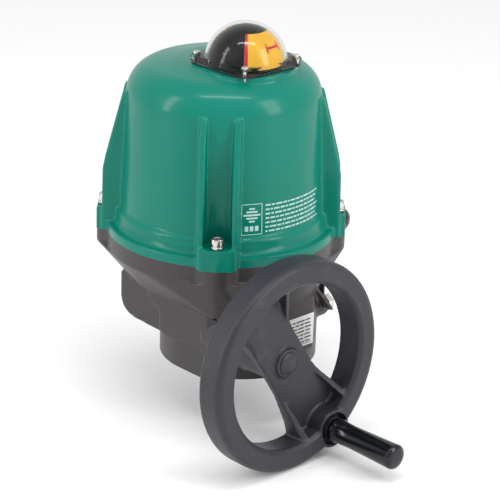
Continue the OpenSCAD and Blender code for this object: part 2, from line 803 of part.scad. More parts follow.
module hub_cap() {
  color([0.21, 0.22, 0.25]) translate([worm_x, hub_front_y, worm_z]) rotate([90, 0, 0])
    rotate_extrude() polygon(concat([[0, 0]], [for (t = [0:15:90]) [9.2 * cos(t), 2.6 * sin(t)]]));
}

module handle_spindle() {
  color([0.7, 0.7, 0.7]) along_y(grip_x, grip_z, -rim_y - grip_len + 2, spindle_y, spindle_r);
}

module handle_grip() {
  color([0.05, 0.05, 0.07]) difference() {
    translate([grip_x, -rim_y - part_gap, grip_z]) rotate([90, 0, 0]) rotate_extrude() polygon([[0, 0],
      [grip_r - 1, 0], [grip_r, 1], [grip_r + 0.3, grip_len - 3], [grip_r - 2.5, grip_len], [0, grip_len]]);
    along_y(grip_x, grip_z, -rim_y - grip_len + 2 - part_gap, -rim_y + 1, spindle_r + run_gap);
  }
}

// ---- Motor and gear train ----
module gear_frame() {
  color([0.68, 0.69, 0.7]) difference() {
    union() {
      box([-58, -7], [frame_y[0], frame_y[1]], [plate_z1, motor_z + 21]);
      box([-46, -24], [frame_y[0], frame_y[1] + 10], [plate_z1, plate_z1 + 3]);
    }
    along_y(motor_x, motor_z, frame_y[0] - 1, frame_y[1] + 1, 6);
    along_y(idler_x, idler_z, frame_y[0] - 1, frame_y[1] + 1, arbor_r);
  }
}

arbor_r = 3;
module idler_arbor() {
  color([0.7, 0.7, 0.7]) {
    along_y(idler_x, idler_z, gear_y - 1.5, frame_y[1] + 1, arbor_r);
    along_y(idler_x, idler_z, gear_y - 2.5, gear_y - 1, arbor_r + 2);
  }
}

idler_phase = mesh_phase(0, shaft_teeth, idler_teeth, idler_dir);
pinion_phase = mesh_phase(idler_phase, idler_teeth, pinion_teeth, motor_dir);

module idler_gear() {
  color([0.9, 0.88, 0.82]) spur_y(idler_x, idler_z, gear_y, idler_teeth, idler_phase, arbor_r + run_gap);
}

module motor_pinion() {
  color([0.7, 0.6, 0.35]) {
    spur_y(motor_x, motor_z, gear_y, pinion_teeth, pinion_phase, 2.5);
    along_y(motor_x, motor_z, gear_y - 2, motor_y0 + 6, 2.5);
  }
}

module gear_head() {
  color([0.6, 0.6, 0.6]) difference() {
    along_y(motor_x, motor_z, motor_y0, motor_y0 + head_len, motor_r);
    along_y(motor_x, motor_z, motor_y0 - 1, motor_y0 + 7, 2.5 + run_gap);
  }
}

module motor_can() {
  color([0.3, 0.3, 0.32]) {
    along_y(motor_x, motor_z, motor_y0 + head_len, motor_y0 + head_len + motor_len, motor_r - 1);
    along_y(motor_x, motor_z, motor_y0 + head_len + motor_len - eps, motor_y0 + head_len + motor_len + 3, 6);
  }
}

module capacitor() {
  color([0.75, 0.75, 0.78]) {
    translate([4, 52.5, plate_z1]) cylinder(r = 11, h = 48);
    for (s = [-4, 4]) translate([4 + s, 52.5, plate_z1 + 47]) cylinder(r = 1.2, h = 7);
  }
}

// ---- End stops ----
// The bolt's tip stands against the end face of the sector at its limit
stop_x0 = sector_root_r * cos(sector_a0 - 90) + 1;
module end_stop_bolts() {
  color([0.72, 0.7, 0.66]) for (s = [-1, 1]) {
    along_x(s * stop_y, stop_z, stop_x0, 54, 4);
    translate([53.5, s * stop_y, stop_z]) rotate([0, 90, 0]) cylinder(r = 7.5, h = 5.3, $fn = 6);
  }
}

// ---- Switches ----
module switch_bracket() {
  color([0.72, 0.73, 0.74]) {
    box([-10, 12], [38, 39.5], [plate_z1, cam_z + 36]);
    box([-10, 12], [30, 38 + eps], [plate_z1, plate_z1 + 2]);
  }
}

module limit_switches() {
  color([0.12, 0.12, 0.14]) for (i = [0:3]) translate([0, 0, cam_z + i * cam_step]) {
    box([-10, 10], [cam_r + 6, 38], [0, 6.4]);
    translate([-6, cam_r + 2.4, 0.5]) cube([1.5, 3.7, 5]);
    translate([-6, cam_r + 1.3, 0.5]) cube([13, 1.2, 5]);
  }
}

// ---- Electronics ----
module board_posts() {
  color([0.8, 0.78, 0.6]) for (y = [-10, 26]) box([board_x - 8, board_x], [y, y + 6], [plate_z1, 140]);
}

module control_board() {
  color([0.06, 0.35, 0.16]) box([board_x, board_x + 1.6], [-18, 56], [plate_z1 + 14, 150]);
}

module terminal_block() {
  color([0.15, 0.45, 0.25]) difference() {
    box([board_x + 1.6, board_x + 14], [-16, 54], [100, 112]);
    for (i = [0:11]) translate([board_x + 11, -13 + i * 5.8, 102]) cube([5, 4, 4]);
    for (i = [0:11]) translate([board_x + 8, -11 + i * 5.8, 108]) cylinder(r = 1.6, h = 6);
  }
}

module board_parts() {
  color([0.1, 0.2, 0.5]) box([board_x + 1.6, board_x + 27], [0, 34], [118, 146]);
  color([0.1, 0.1, 0.1]) for (i = [0, 1])
    box([board_x + 1.6, board_x + 17], [-18, -6], [66 + 17 * i, 80 + 17 * i]);
}

module heater() {
  color([0.8, 0.66, 0.3]) along_x(-34, plate_z1 + 9, -5, 32, 7);
  color([0.6, 0.6, 0.6]) for (x = [-2, 23]) box([x, x + 6], [-38, -30], [plate_z1, plate_z1 + 4]);
}

// ---- Cable glands ----
module gland_bodies() {
  color([0.07, 0.07, 0.08]) for (i = [0, 1]) translate([93, gland_y + i * gland_pitch, gland_z])
    rotate([0, 90, 0]) difference() {
      union() {
        translate([0, 0, -14]) cylinder(r = gland_thread_r, h = 15);
        cylinder(r = gland_af / 2 / cos(30), h = 6, $fn = 6);
        cylinder(r = 9, h = 14);
      }
      translate([0, 0, -15]) cylinder(r = 6.5, h = 40);
    }
}

module gland_nuts() {
  color([0.07, 0.07, 0.08]) for (i = [0, 1]) translate([99.2, gland_y + i * gland_pitch, gland_z])
    rotate([0, 90, 0]) difference() {
      union() {
        cylinder(r = gland_af / 2 / cos(30), h = 9, $fn = 6);
        translate([0, 0, 9]) rotate_extrude() polygon([[0, -1], [11.7, -1], [11.7, 1], [11.2, 5], [9.8, 8.5],
          [7.5, 11], [0, 11]]);
      }
      translate([0, 0, -1]) cylinder(r = 9, h = 10);
      cylinder(r = 6.5, h = 30);
    }
}

module gland_plugs() {
  color([0.1, 0.1, 0.1]) for (i = [0, 1]) translate([95, gland_y + i * gland_pitch, gland_z])
    rotate([0, 90, 0]) cylinder(r = 6.5, h = 25.5);
}

earth_at = [24, 26, plate_z1];
module earth_screw() {
  color([0.75, 0.75, 0.74]) translate(earth_at) socket_screw(2, 6, 3.8, 3, 1.6);
}

housing();
cover();
cover_seal();
cover_screws();
cover_washers();
dome();
dome_seal();
dome_screws();
nameplate();
gear_cover();
gear_cover_screws();
output_bush_lower();
output_bush_upper();
output_seal();
output_shaft();
toothed_sector();
sector_key();
indicator_shaft();
indicator_black();
indicator_yellow();
indicator_red();
travel_cams();
indicator_bush();
worm_shaft();
worm();
shaft_gear();
worm_bush_front();
worm_bush_rear();
worm_seal();
handwheel();
hub_cap();
handle_spindle();
handle_grip();
gear_frame();
idler_arbor();
idler_gear();
motor_pinion();
gear_head();
motor_can();
capacitor();
end_stop_bolts();
switch_bracket();
limit_switches();
board_posts();
control_board();
terminal_block();
board_parts();
heater();
gland_bodies();
gland_nuts();
gland_plugs();
earth_screw();
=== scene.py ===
"""The visible pieces, finishes and studio of a quarter-turn motorized valve actuator."""

import json
import math

import bpy
from bpy.props import FloatProperty, FloatVectorProperty, PointerProperty
from bpy.types import Operator, Panel, PropertyGroup
from mathutils import Matrix, Vector


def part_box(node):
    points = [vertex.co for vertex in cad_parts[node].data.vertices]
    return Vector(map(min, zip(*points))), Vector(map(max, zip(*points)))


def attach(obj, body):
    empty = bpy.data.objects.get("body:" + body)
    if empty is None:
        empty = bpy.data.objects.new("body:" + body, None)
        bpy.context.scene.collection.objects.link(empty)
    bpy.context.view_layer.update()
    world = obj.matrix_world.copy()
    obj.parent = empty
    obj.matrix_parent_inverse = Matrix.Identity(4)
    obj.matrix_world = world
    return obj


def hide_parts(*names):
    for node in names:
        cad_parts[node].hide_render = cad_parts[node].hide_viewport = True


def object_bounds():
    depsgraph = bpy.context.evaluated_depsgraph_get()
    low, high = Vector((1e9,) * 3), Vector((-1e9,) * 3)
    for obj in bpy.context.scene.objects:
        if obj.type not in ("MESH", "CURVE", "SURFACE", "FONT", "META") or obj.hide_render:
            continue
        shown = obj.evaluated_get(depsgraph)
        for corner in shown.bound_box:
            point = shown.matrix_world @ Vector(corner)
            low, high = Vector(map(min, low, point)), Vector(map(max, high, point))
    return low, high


bl_info = {
    "name": "Motorized valve actuator",
    "version": (1, 0, 0),
    "blender": (4, 5, 0),
    "location": "View3D > Sidebar > Actuator",
    "description": "Builds the pieces, finishes and studio of a quarter-turn valve actuator",
    "category": "Object",
}

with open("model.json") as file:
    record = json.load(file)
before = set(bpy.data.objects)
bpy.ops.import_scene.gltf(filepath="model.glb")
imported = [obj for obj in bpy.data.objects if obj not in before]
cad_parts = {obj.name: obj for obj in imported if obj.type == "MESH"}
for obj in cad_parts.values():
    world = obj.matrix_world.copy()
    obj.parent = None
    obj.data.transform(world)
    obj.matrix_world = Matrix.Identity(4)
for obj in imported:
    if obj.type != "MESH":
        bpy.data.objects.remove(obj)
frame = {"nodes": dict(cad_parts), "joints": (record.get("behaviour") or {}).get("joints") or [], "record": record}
CAD_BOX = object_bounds()
NODES = frame["nodes"]
BODY_OF = {n: b for b, ns in frame["record"]["behaviour"]["bodies"].items() for n in ns}
SLOT_OF = {row["node"]: row["material_slot"] for row in frame["record"]["subparts"]}
JOINTS = {joint["name"]: joint for joint in frame["joints"]}

MM = 0.001
OVER = 0.002  # how far a cutter runs past the face that it opens
SUNK = 0.004  # how far a casting's solids run past the face where they are cut off
CORNER_TURNS = [math.radians(45 + 90 * quarter) for quarter in range(4)]
AXES = {
    "X": (Vector((0, 1, 0)), Vector((0, 0, 1)), Vector((1, 0, 0))),
    "Y": (Vector((1, 0, 0)), Vector((0, 0, 1)), Vector((0, 1, 0))),
    "Z": (Vector((1, 0, 0)), Vector((0, 1, 0)), Vector((0, 0, 1))),
}
TURNS = {"X": (0, math.pi / 2, 0), "Y": (-math.pi / 2, 0, 0), "Z": (0, 0, 0)}
PLACES = {"X": (2, 0, 1), "Y": (0, 2, 1), "Z": (0, 1, 2)}

COVER_LOW, COVER_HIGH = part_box("cover")
WHEEL_LOW, WHEEL_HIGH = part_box("handwheel")
YELLOW_EDGES = (-131, 49)  # directions of the two yellow signs' first edges
JOINT_Z = COVER_LOW.z
CASE_Y = (COVER_LOW.y + COVER_HIGH.y) / 2
WORM_X, _, WORM_Z = JOINTS["handwheel_turn"]["pos_m"]
GRIP_X, _, GRIP_Z = JOINTS["handle_spin"]["pos_m"]
GRIP_DIR = math.atan2(GRIP_Z - WORM_Z, GRIP_X - WORM_X)
CORNERS = [(sx, sy) for sx in (-1, 1) for sy in (-1, 1)]
TAPER_Z = JOINT_Z + 22 * MM  # where the cover's wall starts to lean in
FLANGE_Z = JOINT_Z - 13.5 * MM  # underside of the housing's flange
STOPS = [(y * MM, 37 * MM) for y in (-42, 42)]  # axes of the two end-stop bolts


def length(name, description, value):
    """A length that the sidebar shows."""
    return FloatProperty(name=name, description=description, default=value, unit="LENGTH")


def colour(name, description, value):
    """A colour that the sidebar shows."""
    return FloatVectorProperty(name=name, description=description, default=value, subtype="COLOR",
                               size=3, min=0, max=1)


class ActuatorSizes(PropertyGroup):
    """Sizes that shape the visible pieces"""

    wall_foot: length("Wall at the foot", "Radius of the cover wall at its foot", 0.080)
    wall_top: length("Wall at the top", "Radius of the cover wall under its shoulder", 0.076)
    shoulder: length("Shoulder", "Radius of the cover's round shoulder", 0.025)
    cover_wall: length("Cover wall", "Thickness of the cover's wall", 0.0048)
    crown: length("Crown", "Rise of the cover's top inside its shoulder", 0.0035)
    lip: length("Lip", "Height of the lip at the foot of the cover", 0.0075)
    pad: length("Screw pad", "Height of the pads under the cover screws", 0.0175)
    fin: length("Fin", "Thickness of one fin", 0.0055)
    fin_gap: length("Fin gap", "Gap between the two fins of a buttress", 0.0205)
    fin_reach: length("Fin reach", "Distance of the fins' edge from the casing's axis", 0.093)
    flange: FloatProperty(name="Flange radius", description="Radius of the round part of the flange",
                          default=COVER_HIGH.y - CASE_Y, unit="LENGTH")
    flange_half: length("Flange half width", "Half width of the flange's square part", 0.074)
    flange_corner: length("Flange corner", "Corner radius of the flange", 0.0145)
    boss: length("Mounting boss", "Radius of the mounting boss", 0.0625)
    dome_wall: length("Dome wall", "Thickness of the sight dome's wall", 0.0014)
    dome_gap: length("Dome gap", "Gap between the sight dome and the ball inside", 0.0017)
    casting_voxel: length("Casting detail", "Finest detail of the two castings", 0.00115)
    wheel_voxel: length("Wheel detail", "Finest detail of the handwheel", 0.0010)


class ActuatorColours(PropertyGroup):
    """Colours of the painted and moulded pieces"""

    cover: colour("Cover", "Gloss coat of the cover", (0.001, 0.170, 0.122))
    housing: colour("Housing", "Epoxy coat of the housing", (0.040, 0.034, 0.036))
    wheel: colour("Handwheel", "Moulded handwheel", (0.021, 0.021, 0.028))
    handle: colour("Handle", "Moulded handle", (0.003, 0.003, 0.006))
    yellow: colour("Yellow", "Open sign of the indicator", (0.78, 0.42, 0.030))
    red: colour("Red", "Stripe of the indicator", (0.52, 0.012, 0.020))
    print: colour("Print", "Printed lines on the cover", (0.42, 0.62, 0.58))
    floor: colour("Floor", "Studio floor", (0.93, 0.93, 0.93))


# ---- Modelling ----
def deselect():
    """Leaves edit mode and selects nothing."""
    if bpy.context.object and bpy.context.object.mode != "OBJECT":
        bpy.ops.object.mode_set(mode="OBJECT")
    bpy.ops.object.select_all(action="DESELECT")


def pick(*objects):
    """Selects these objects alone and makes the first one active."""
    deselect()
    for obj in objects:
        obj.select_set(True)
    bpy.context.view_layer.objects.active = objects[0]


def settle(name):
    """Names the active object and puts its place into its mesh."""
    obj = bpy.context.object
    obj.name = obj.data.name = name
    bpy.ops.object.transform_apply(location=True, rotation=True, scale=True)
    return obj


def joined(name, parts):
    """One object from several."""
    pick(*parts)
    bpy.ops.object.join()
    return settle(name)


def mesh_step(obj, step, **settings):
    """Runs one edit mode operator on the whole mesh."""
    pick(obj)
    bpy.ops.object.mode_set(mode="EDIT")
    bpy.ops.mesh.select_all(action="SELECT")
    step(**settings)
    bpy.ops.object.mode_set(mode="OBJECT")
    return obj


def pick_edges(obj, test):
    """Enters edit mode with only the edges selected whose two vertices pass the test."""
    pick(obj)
    for part in (*obj.data.vertices, *obj.data.edges, *obj.data.polygons):
        part.select = False
    for edge in obj.data.edges:
        a, b = (obj.data.vertices[i] for i in edge.vertices)
        edge.select = test(a, b)
        if edge.select:
            a.select = b.select = True
    bpy.context.tool_settings.mesh_select_mode = (False, True, False)
    bpy.ops.object.mode_set(mode="EDIT")


def upright(a, b):
    """True for an edge that runs along Z."""
    return abs(a.co.z - b.co.z) > 1e-6


def round_corners(obj, radius, segments):
    """Rounds the upright edges of a block."""
    pick_edges(obj, upright)
    bpy.ops.mesh.bevel(offset=radius, segments=segments, affect="EDGES")
    bpy.ops.object.mode_set(mode="OBJECT")
    return obj


def cylinder(name, radius, low, high, at=(0, 0), axis="Z", sides=96):
    """Cylinder along an axis, from low to high."""
    deselect()
    centre = (*at, (low + high) / 2)
    bpy.ops.mesh.primitive_cone_add(vertices=sides, radius1=radius, radius2=radius, depth=high - low,
                                    location=[centre[i] for i in PLACES[axis]], rotation=TURNS[axis])
    return settle(name)


def block(name, low, high):
    """Box between two corners."""
    deselect()
    low, high = Vector(low), Vector(high)
    bpy.ops.mesh.primitive_cube_add(size=1, location=(low + high) / 2, scale=high - low)
    return settle(name)


def prism(name, points, low, high, axis="Z"):
    """Solid with a flat outline, extruded along an axis."""
    deselect()
    u, v, w = AXES[axis]
    bpy.ops.mesh.primitive_circle_add(vertices=len(points), fill_type="NGON")
    obj = bpy.context.object
    for vertex, (a, b) in zip(obj.data.vertices, points):
        vertex.co = a * u + b * v + low * w
    mesh_step(obj, bpy.ops.mesh.extrude_region_move, TRANSFORM_OT_translate={"value": (high - low) * w})
    mesh_step(obj, bpy.ops.mesh.normals_make_consistent, inside=False)
    return settle(name)


def lathe(name, profile, at=(0, 0), axis="Z", ring=False, steps=128, start=0.0, angle=math.tau):
    """Solid turned round an axis from (radius, height) points; a ring's profile is closed."""
    deselect()
    u, v, w = AXES[axis]
    bpy.ops.mesh.primitive_circle_add(vertices=len(profile), fill_type="NOTHING")
    obj = bpy.context.object
    out = u * math.cos(start) + v * math.sin(start)
    place = at[0] * u + at[1] * v
    for vertex, (radius, height) in zip(obj.data.vertices, profile):
        vertex.co = place + radius * out + height * w
    if not ring:
        pick_edges(obj, lambda a, b: {a.index, b.index} == {0, len(profile) - 1})
        bpy.ops.mesh.delete(type="EDGE")
        bpy.ops.mesh.select_mode(type="VERT")
        bpy.ops.object.mode_set(mode="OBJECT")
    mesh_step(obj, bpy.ops.mesh.spin, steps=steps, angle=angle, center=place, axis=u.cross(v))
    mesh_step(obj, bpy.ops.mesh.remove_doubles, threshold=1e-6)
    mesh_step(obj, bpy.ops.mesh.normals_make_consistent, inside=False)
    return settle(name)


def arc(centre, radius, start, end, steps):
    """Points of an arc, angles in degrees."""
    turns = [math.radians(start + (end - start) * i / steps) for i in range(steps + 1)]
    return [(centre[0] + radius * math.cos(t), centre[1] + radius * math.sin(t)) for t in turns]


def mm(points):
    """Points given in millimetres."""
    return [(a * MM, b * MM) for a, b in points]


def modify(obj, kind, **settings):
    """Adds one modifier and applies it."""
    pick(obj)
    bpy.ops.object.modifier_add(type=kind)
    modifier = obj.modifiers[-1]
    for key, value in settings.items():
        setattr(modifier, key, value)
    bpy.ops.object.modifier_apply(modifier=modifier.name)
    return obj


def cut(obj, *tools, operation="DIFFERENCE"):
    """Cuts each tool out of the piece, or adds it, and removes the tool."""
    for tool in tools:
        modify(obj, "BOOLEAN", operation=operation, solver="MANIFOLD", object=tool)
        bpy.data.objects.remove(tool)
    return obj


def hull(name, *parts):
    """Convex skin round the parts."""
    obj = joined(name, parts)
    mesh_step(obj, bpy.ops.mesh.convex_hull)
    return obj


def cast(name, parts, voxel, passes, grid=Matrix()):
    """One casting from overlapping solids, with a fillet where they meet; grid turns the mesh's grid."""
    obj = joined(name, parts)
    obj.data.transform(grid.inverted())
    modify(obj, "REMESH", mode="VOXEL", voxel_size=voxel)
    modify(obj, "SMOOTH", factor=0.5, iterations=passes)
    obj.data.transform(grid)
    return obj


def turned(obj, angle, centre):
    """The same piece, turned about the vertical through centre."""
    spin = Matrix.Translation(centre) @ Matrix.Rotation(angle, 4, "Z") @ Matrix.Translation(-Vector(centre))
    obj.data.transform(spin)
    return obj


def show(obj, material, body, slot, *nodes, smooth=35.0):
    """Gives a finished piece its shading, finish and body, and hides the nodes that it stands for; slot is not
    used.
    """
    pick(obj)
    bpy.ops.object.shade_smooth_by_angle(angle=math.radians(smooth))
    obj.data.materials.clear()
    obj.data.materials.append(material)
    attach(obj, body)
    if nodes:
        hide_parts(*nodes)
    return obj


def eased(node, name, edge, segments=2, angle=30.0):
    """A copy of a machined node with its sharp edges broken."""
    obj = NODES[node].copy()
    obj.data = NODES[node].data.copy()
    obj.name = obj.data.name = name
    for key in list(obj.keys()):
        if key.startswith("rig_"):
            del obj[key]
    obj.parent = None
    bpy.context.scene.collection.objects.link(obj)
    mesh_step(obj, bpy.ops.mesh.remove_doubles, threshold=2e-6)
    mesh_step(obj, bpy.ops.mesh.dissolve_limited, angle_limit=math.radians(1))
    modify(obj, "BEVEL", width=edge, segments=segments, limit_method="ANGLE",
           angle_limit=math.radians(angle), use_clamp_overlap=True, harden_normals=False)
    return obj


# ---- Finishes ----
def socket(group, name, kind, default=None, output=False):
    """Adds a named input or output to a group."""
    made = group.interface.new_socket(name=name, in_out="OUTPUT" if output else "INPUT", socket_type=kind)
    if default is not None:
        made.default_value = default


def noise_node(group, scale, detail, source):
    """A noise texture fed by the given place."""
    node = group.nodes.new("ShaderNodeTexNoise")
    node.inputs["Scale"].default_value = scale
    node.inputs["Detail"].default_value = detail
    group.links.new(source, node.inputs["Vector"])
    return node


def maths(group, operation, a, b, clamp=False):
    """One Math node; a and b are sockets or numbers."""
    node = group.nodes.new("ShaderNodeMath")
    node.operation = operation
    node.use_clamp = clamp
    for place, value in zip(node.inputs, (a, b)):
        if isinstance(value, (int, float)):
            place.default_value = value
        else:
            group.links.new(value, place)
    return node.outputs[0]


def tone_group():
    """Slow change of shade over a coat, and of how glossy it is."""
    group = bpy.data.node_groups.new("Coat tone", "ShaderNodeTree")
    socket(group, "Colour", "NodeSocketColor", (0.5, 0.5, 0.5, 1))
    socket(group, "Amount", "NodeSocketFloat", 0.1)
    socket(group, "Roughness", "NodeSocketFloat", 0.4)
    socket(group, "Spread", "NodeSocketFloat", 0.05)
    socket(group, "Colour", "NodeSocketColor", output=True)
    socket(group, "Roughness", "NodeSocketFloat", output=True)
    entry, leave = group.nodes.new("NodeGroupInput"), group.nodes.new("NodeGroupOutput")
    place = group.nodes.new("ShaderNodeTexCoord").outputs["Object"]
    broad = noise_node(group, 14, 3, place).outputs["Fac"]
    fine = noise_node(group, 160, 4, place).outputs["Fac"]
    mixed = maths(group, "ADD", maths(group, "MULTIPLY", broad, 0.65), maths(group, "MULTIPLY", fine, 0.35))
    centred = maths(group, "SUBTRACT", mixed, 0.5)
    factor = maths(group, "ADD", maths(group, "MULTIPLY", centred, entry.outputs["Amount"]), 1.0)
    shade = group.nodes.new("ShaderNodeVectorMath")
    shade.operation = "SCALE"
    group.links.new(entry.outputs["Colour"], shade.inputs[0])
    group.links.new(factor, shade.inputs["Scale"])
    group.links.new(shade.outputs[0], leave.inputs["Colour"])
    rough = maths(group, "ADD", entry.outputs["Roughness"],
                  maths(group, "MULTIPLY", centred, entry.outputs["Spread"]), clamp=True)
    group.links.new(rough, leave.inputs["Roughness"])
    return group


def grain_group():
    """Height of a fine grain over a slow waviness, as on a coated casting or a moulding."""
    group = bpy.data.node_groups.new("Grain", "ShaderNodeTree")
    socket(group, "Grain size", "NodeSocketFloat", 900.0)
    socket(group, "Grain", "NodeSocketFloat", 0.5)
    socket(group, "Waves size", "NodeSocketFloat", 120.0)
    socket(group, "Waves", "NodeSocketFloat", 0.5)
    socket(group, "Height", "NodeSocketFloat", output=True)
    entry, leave = group.nodes.new("NodeGroupInput"), group.nodes.new("NodeGroupOutput")
    place = group.nodes.new("ShaderNodeTexCoord").outputs["Object"]
    heights = []
    for size, share, detail in (("Grain size", "Grain", 2), ("Waves size", "Waves", 1)):
        node = noise_node(group, 100, detail, place)
        group.links.new(entry.outputs[size], node.inputs["Scale"])
        heights.append(maths(group, "MULTIPLY", node.outputs["Fac"], entry.outputs[share]))
    group.links.new(maths(group, "ADD", *heights), leave.inputs["Height"])
    return group


def wear_group():
    """Mask of small rubs and scuffs, for edges and handled places."""
    group = bpy.data.node_groups.new("Rubs", "ShaderNodeTree")
    socket(group, "Size", "NodeSocketFloat", 60.0)
    socket(group, "Cover", "NodeSocketFloat", 0.5)
    socket(group, "Mask", "NodeSocketFloat", output=True)
    entry, leave = group.nodes.new("NodeGroupInput"), group.nodes.new("NodeGroupOutput")
    place = group.nodes.new("ShaderNodeTexCoord").outputs["Object"]
    spots = noise_node(group, 60, 6, place)
    group.links.new(entry.outputs["Size"], spots.inputs["Scale"])
    above = maths(group, "SUBTRACT", spots.outputs["Fac"], maths(group, "SUBTRACT", 1.0, entry.outputs["Cover"]))
    group.links.new(maths(group, "MULTIPLY", above, 6.0, clamp=True), leave.inputs["Mask"])
    return group


GROUPS = {"tone": tone_group(), "grain": grain_group(), "wear": wear_group()}


def group_node(tree, key, **values):
    """Places one of the groups in a material, with its own values."""
    node = tree.nodes.new("ShaderNodeGroup")
    node.node_tree = GROUPS[key]
    for name, value in values.items():
        node.inputs[name.replace("_", " ")].default_value = value
    return node


def finish(name, base, rough, metal=0.0, tone=0.12, spread=0.12, grain=(900.0, 0.5), waves=(120.0, 0.5),
           depth=0.00006, coat=0.0, coat_rough=0.1, shine=0.5, glass=0.0, ior=1.5, rubs=None):
    """A procedural finish: shade and gloss that change slowly, grain and waviness as relief, and rubs."""
    material = bpy.data.materials.new(name)
    material.use_nodes = True
    tree = material.node_tree
    shader = tree.nodes["Principled BSDF"]
    tones = group_node(tree, "tone", Colour=(*base, 1), Amount=tone, Roughness=rough, Spread=spread)
    grains = group_node(tree, "grain", Grain_size=grain[0], Grain=grain[1], Waves_size=waves[0], Waves=waves[1])
    bump = tree.nodes.new("ShaderNodeBump")
    bump.inputs["Strength"].default_value = 1.0
    bump.inputs["Distance"].default_value = depth
    tree.links.new(grains.outputs["Height"], bump.inputs["Height"])
    tree.links.new(bump.outputs["Normal"], shader.inputs["Normal"])
    tree.links.new(tones.outputs["Roughness"], shader.inputs["Roughness"])
    shade = tones.outputs["Colour"]
    if rubs:
        mask = group_node(tree, "wear", Size=rubs[1], Cover=rubs[2])
        mix = tree.nodes.new("ShaderNodeMix")
        mix.data_type = "RGBA"
        tree.links.new(mask.outputs["Mask"], mix.inputs["Factor"])
        tree.links.new(shade, mix.inputs["A"])
        mix.inputs["B"].default_value = (*rubs[0], 1)
        shade = mix.outputs["Result"]
    if tone:
        tree.links.new(shade, shader.inputs["Base Color"])
    else:
        shader.inputs["Base Color"].default_value = (*base, 1)
    shader.inputs["Specular IOR Level"].default_value = shine
    shader.inputs["Metallic"].default_value = metal
    shader.inputs["Coat Weight"].default_value = coat
    shader.inputs["Coat Roughness"].default_value = coat_rough
    shader.inputs["Transmission Weight"].default_value = glass
    shader.inputs["IOR"].default_value = ior
    return material


FINISHES = {}


def make_finishes(own):
    """Every finish of the object, by name."""
    FINISHES.update({
        "green_paint": finish("Green gloss coat", own.cover, 0.30, tone=0.08, spread=0.05, grain=(700, 0.30),
            waves=(45, 0.5), depth=0.00003, coat=0.14, coat_rough=0.08, shine=0.16),
        "cast_epoxy": finish("Grey epoxy on casting", own.housing, 0.42, tone=0.20, spread=0.20,
            grain=(650, 0.9), waves=(90, 0.8), depth=0.00012, coat=0.05, coat_rough=0.3, shine=0.35),
        "wheel_plastic": finish("Moulded wheel", own.wheel, 0.44, tone=0.10, spread=0.12, grain=(1400, 0.8),
            waves=(60, 0.5), depth=0.00006, shine=0.4, rubs=((0.034, 0.035, 0.044), 90.0, 0.42)),
        "black_plastic": finish("Black gloss moulding", own.handle, 0.20, tone=0.2, spread=0.10,
            grain=(700, 0.4), waves=(80, 0.5), depth=0.00004, coat=0.1, coat_rough=0.1, shine=0.35),
        "black_rubber": finish("Black rubber", (0.012, 0.012, 0.012), 0.62, tone=0.2, depth=0.0001),
        "clear_plastic": finish("Clear dome", (0.97, 0.98, 0.98), 0.03, tone=0.0, spread=0.02, grain=(300, 0.0),
            waves=(30, 0.3), depth=0.00001, glass=1.0, ior=1.2),
        "stainless": finish("Stainless steel", (0.62, 0.60, 0.57), 0.26, metal=1.0, tone=0.15, spread=0.15,
            grain=(1800, 0.5), depth=0.00003, rubs=((0.50, 0.46, 0.40), 400.0, 0.45)),
        "label": finish("Label film", (0.72, 0.72, 0.70), 0.35, tone=0.06, depth=0.00003),
        "aluminium": finish("Milled aluminium", (0.60, 0.61, 0.62), 0.36, metal=1.0, tone=0.1,
            grain=(1500, 0.6), depth=0.00004),
        "bronze": finish("Machined bronze", (0.60, 0.38, 0.16), 0.30, metal=1.0, tone=0.15, depth=0.00004,
            rubs=((0.42, 0.25, 0.11), 120.0, 0.45)),
        "steel": finish("Ground steel", (0.48, 0.49, 0.51), 0.28, metal=1.0, tone=0.1, depth=0.00003,
            rubs=((0.36, 0.35, 0.34), 150.0, 0.42)),
        "yellow_plastic": finish("Yellow moulding", own.yellow, 0.24, tone=0.05, depth=0.00001, shine=0.25),
        "red_plastic": finish("Red moulding", own.red, 0.24, tone=0.05, depth=0.00003, coat=0.3),
        "orange_plastic": finish("Orange moulding", (0.62, 0.09, 0.02), 0.4, depth=0.00005),
        "white_plastic": finish("White moulding", (0.72, 0.69, 0.62), 0.42, tone=0.06, depth=0.00005),
        "motor_steel": finish("Plated motor can", (0.09, 0.09, 0.10), 0.34, metal=0.9, depth=0.00004),
        "board": finish("Solder mask", (0.006, 0.085, 0.022), 0.28, tone=0.25, grain=(500, 0.8), depth=0.00004),
        "blue_plastic": finish("Blue moulding", (0.012, 0.045, 0.23), 0.35, depth=0.00004),
        "green_plastic": finish("Green moulding", (0.020, 0.15, 0.045), 0.4, depth=0.00005),
        "gold_anodised": finish("Gold anodised", (0.62, 0.42, 0.10), 0.3, metal=1.0, depth=0.00004),
        "ball": finish("Black indicator", (0.002, 0.002, 0.003), 0.35, tone=0.1, spread=0.05, grain=(900, 0.0),
            waves=(60, 0.4), depth=0.00001, shine=0.2),
        "print": finish("Pale print", own.print, 0.5, tone=0.15, depth=0.00002),
        "ink": finish("Dark print", (0.03, 0.03, 0.035), 0.5, tone=0.1, depth=0.00002),
    })


# ---- Cover ----
def flange_parts(name, sizes, low, high):
    """The flange's outline as a solid: a disc and a square with round corners."""
    half = sizes.flange_half
    square = block(name + "_square", (-half, CASE_Y - half, low), (half, CASE_Y + half, high))
    return [round_corners(square, sizes.flange_corner, 8),
            cylinder(name + "_disc", sizes.flange, low, high, at=(0, CASE_Y))]


def wall_profile(sizes, inset, foot):
    """Half section of the cover's turned body, taken in by inset."""
    r, s = sizes.wall_top - inset, sizes.shoulder - inset
    top, crown_r = COVER_HIGH.z - inset, 32 * MM
    shoulder_z = COVER_HIGH.z - sizes.crown - sizes.shoulder
    return [(0, foot), (sizes.wall_foot - inset, foot), (sizes.wall_foot - inset, TAPER_Z),
            *arc((r - s, shoulder_z), s, 0, 84, 14), (crown_r, top), (0, top)]


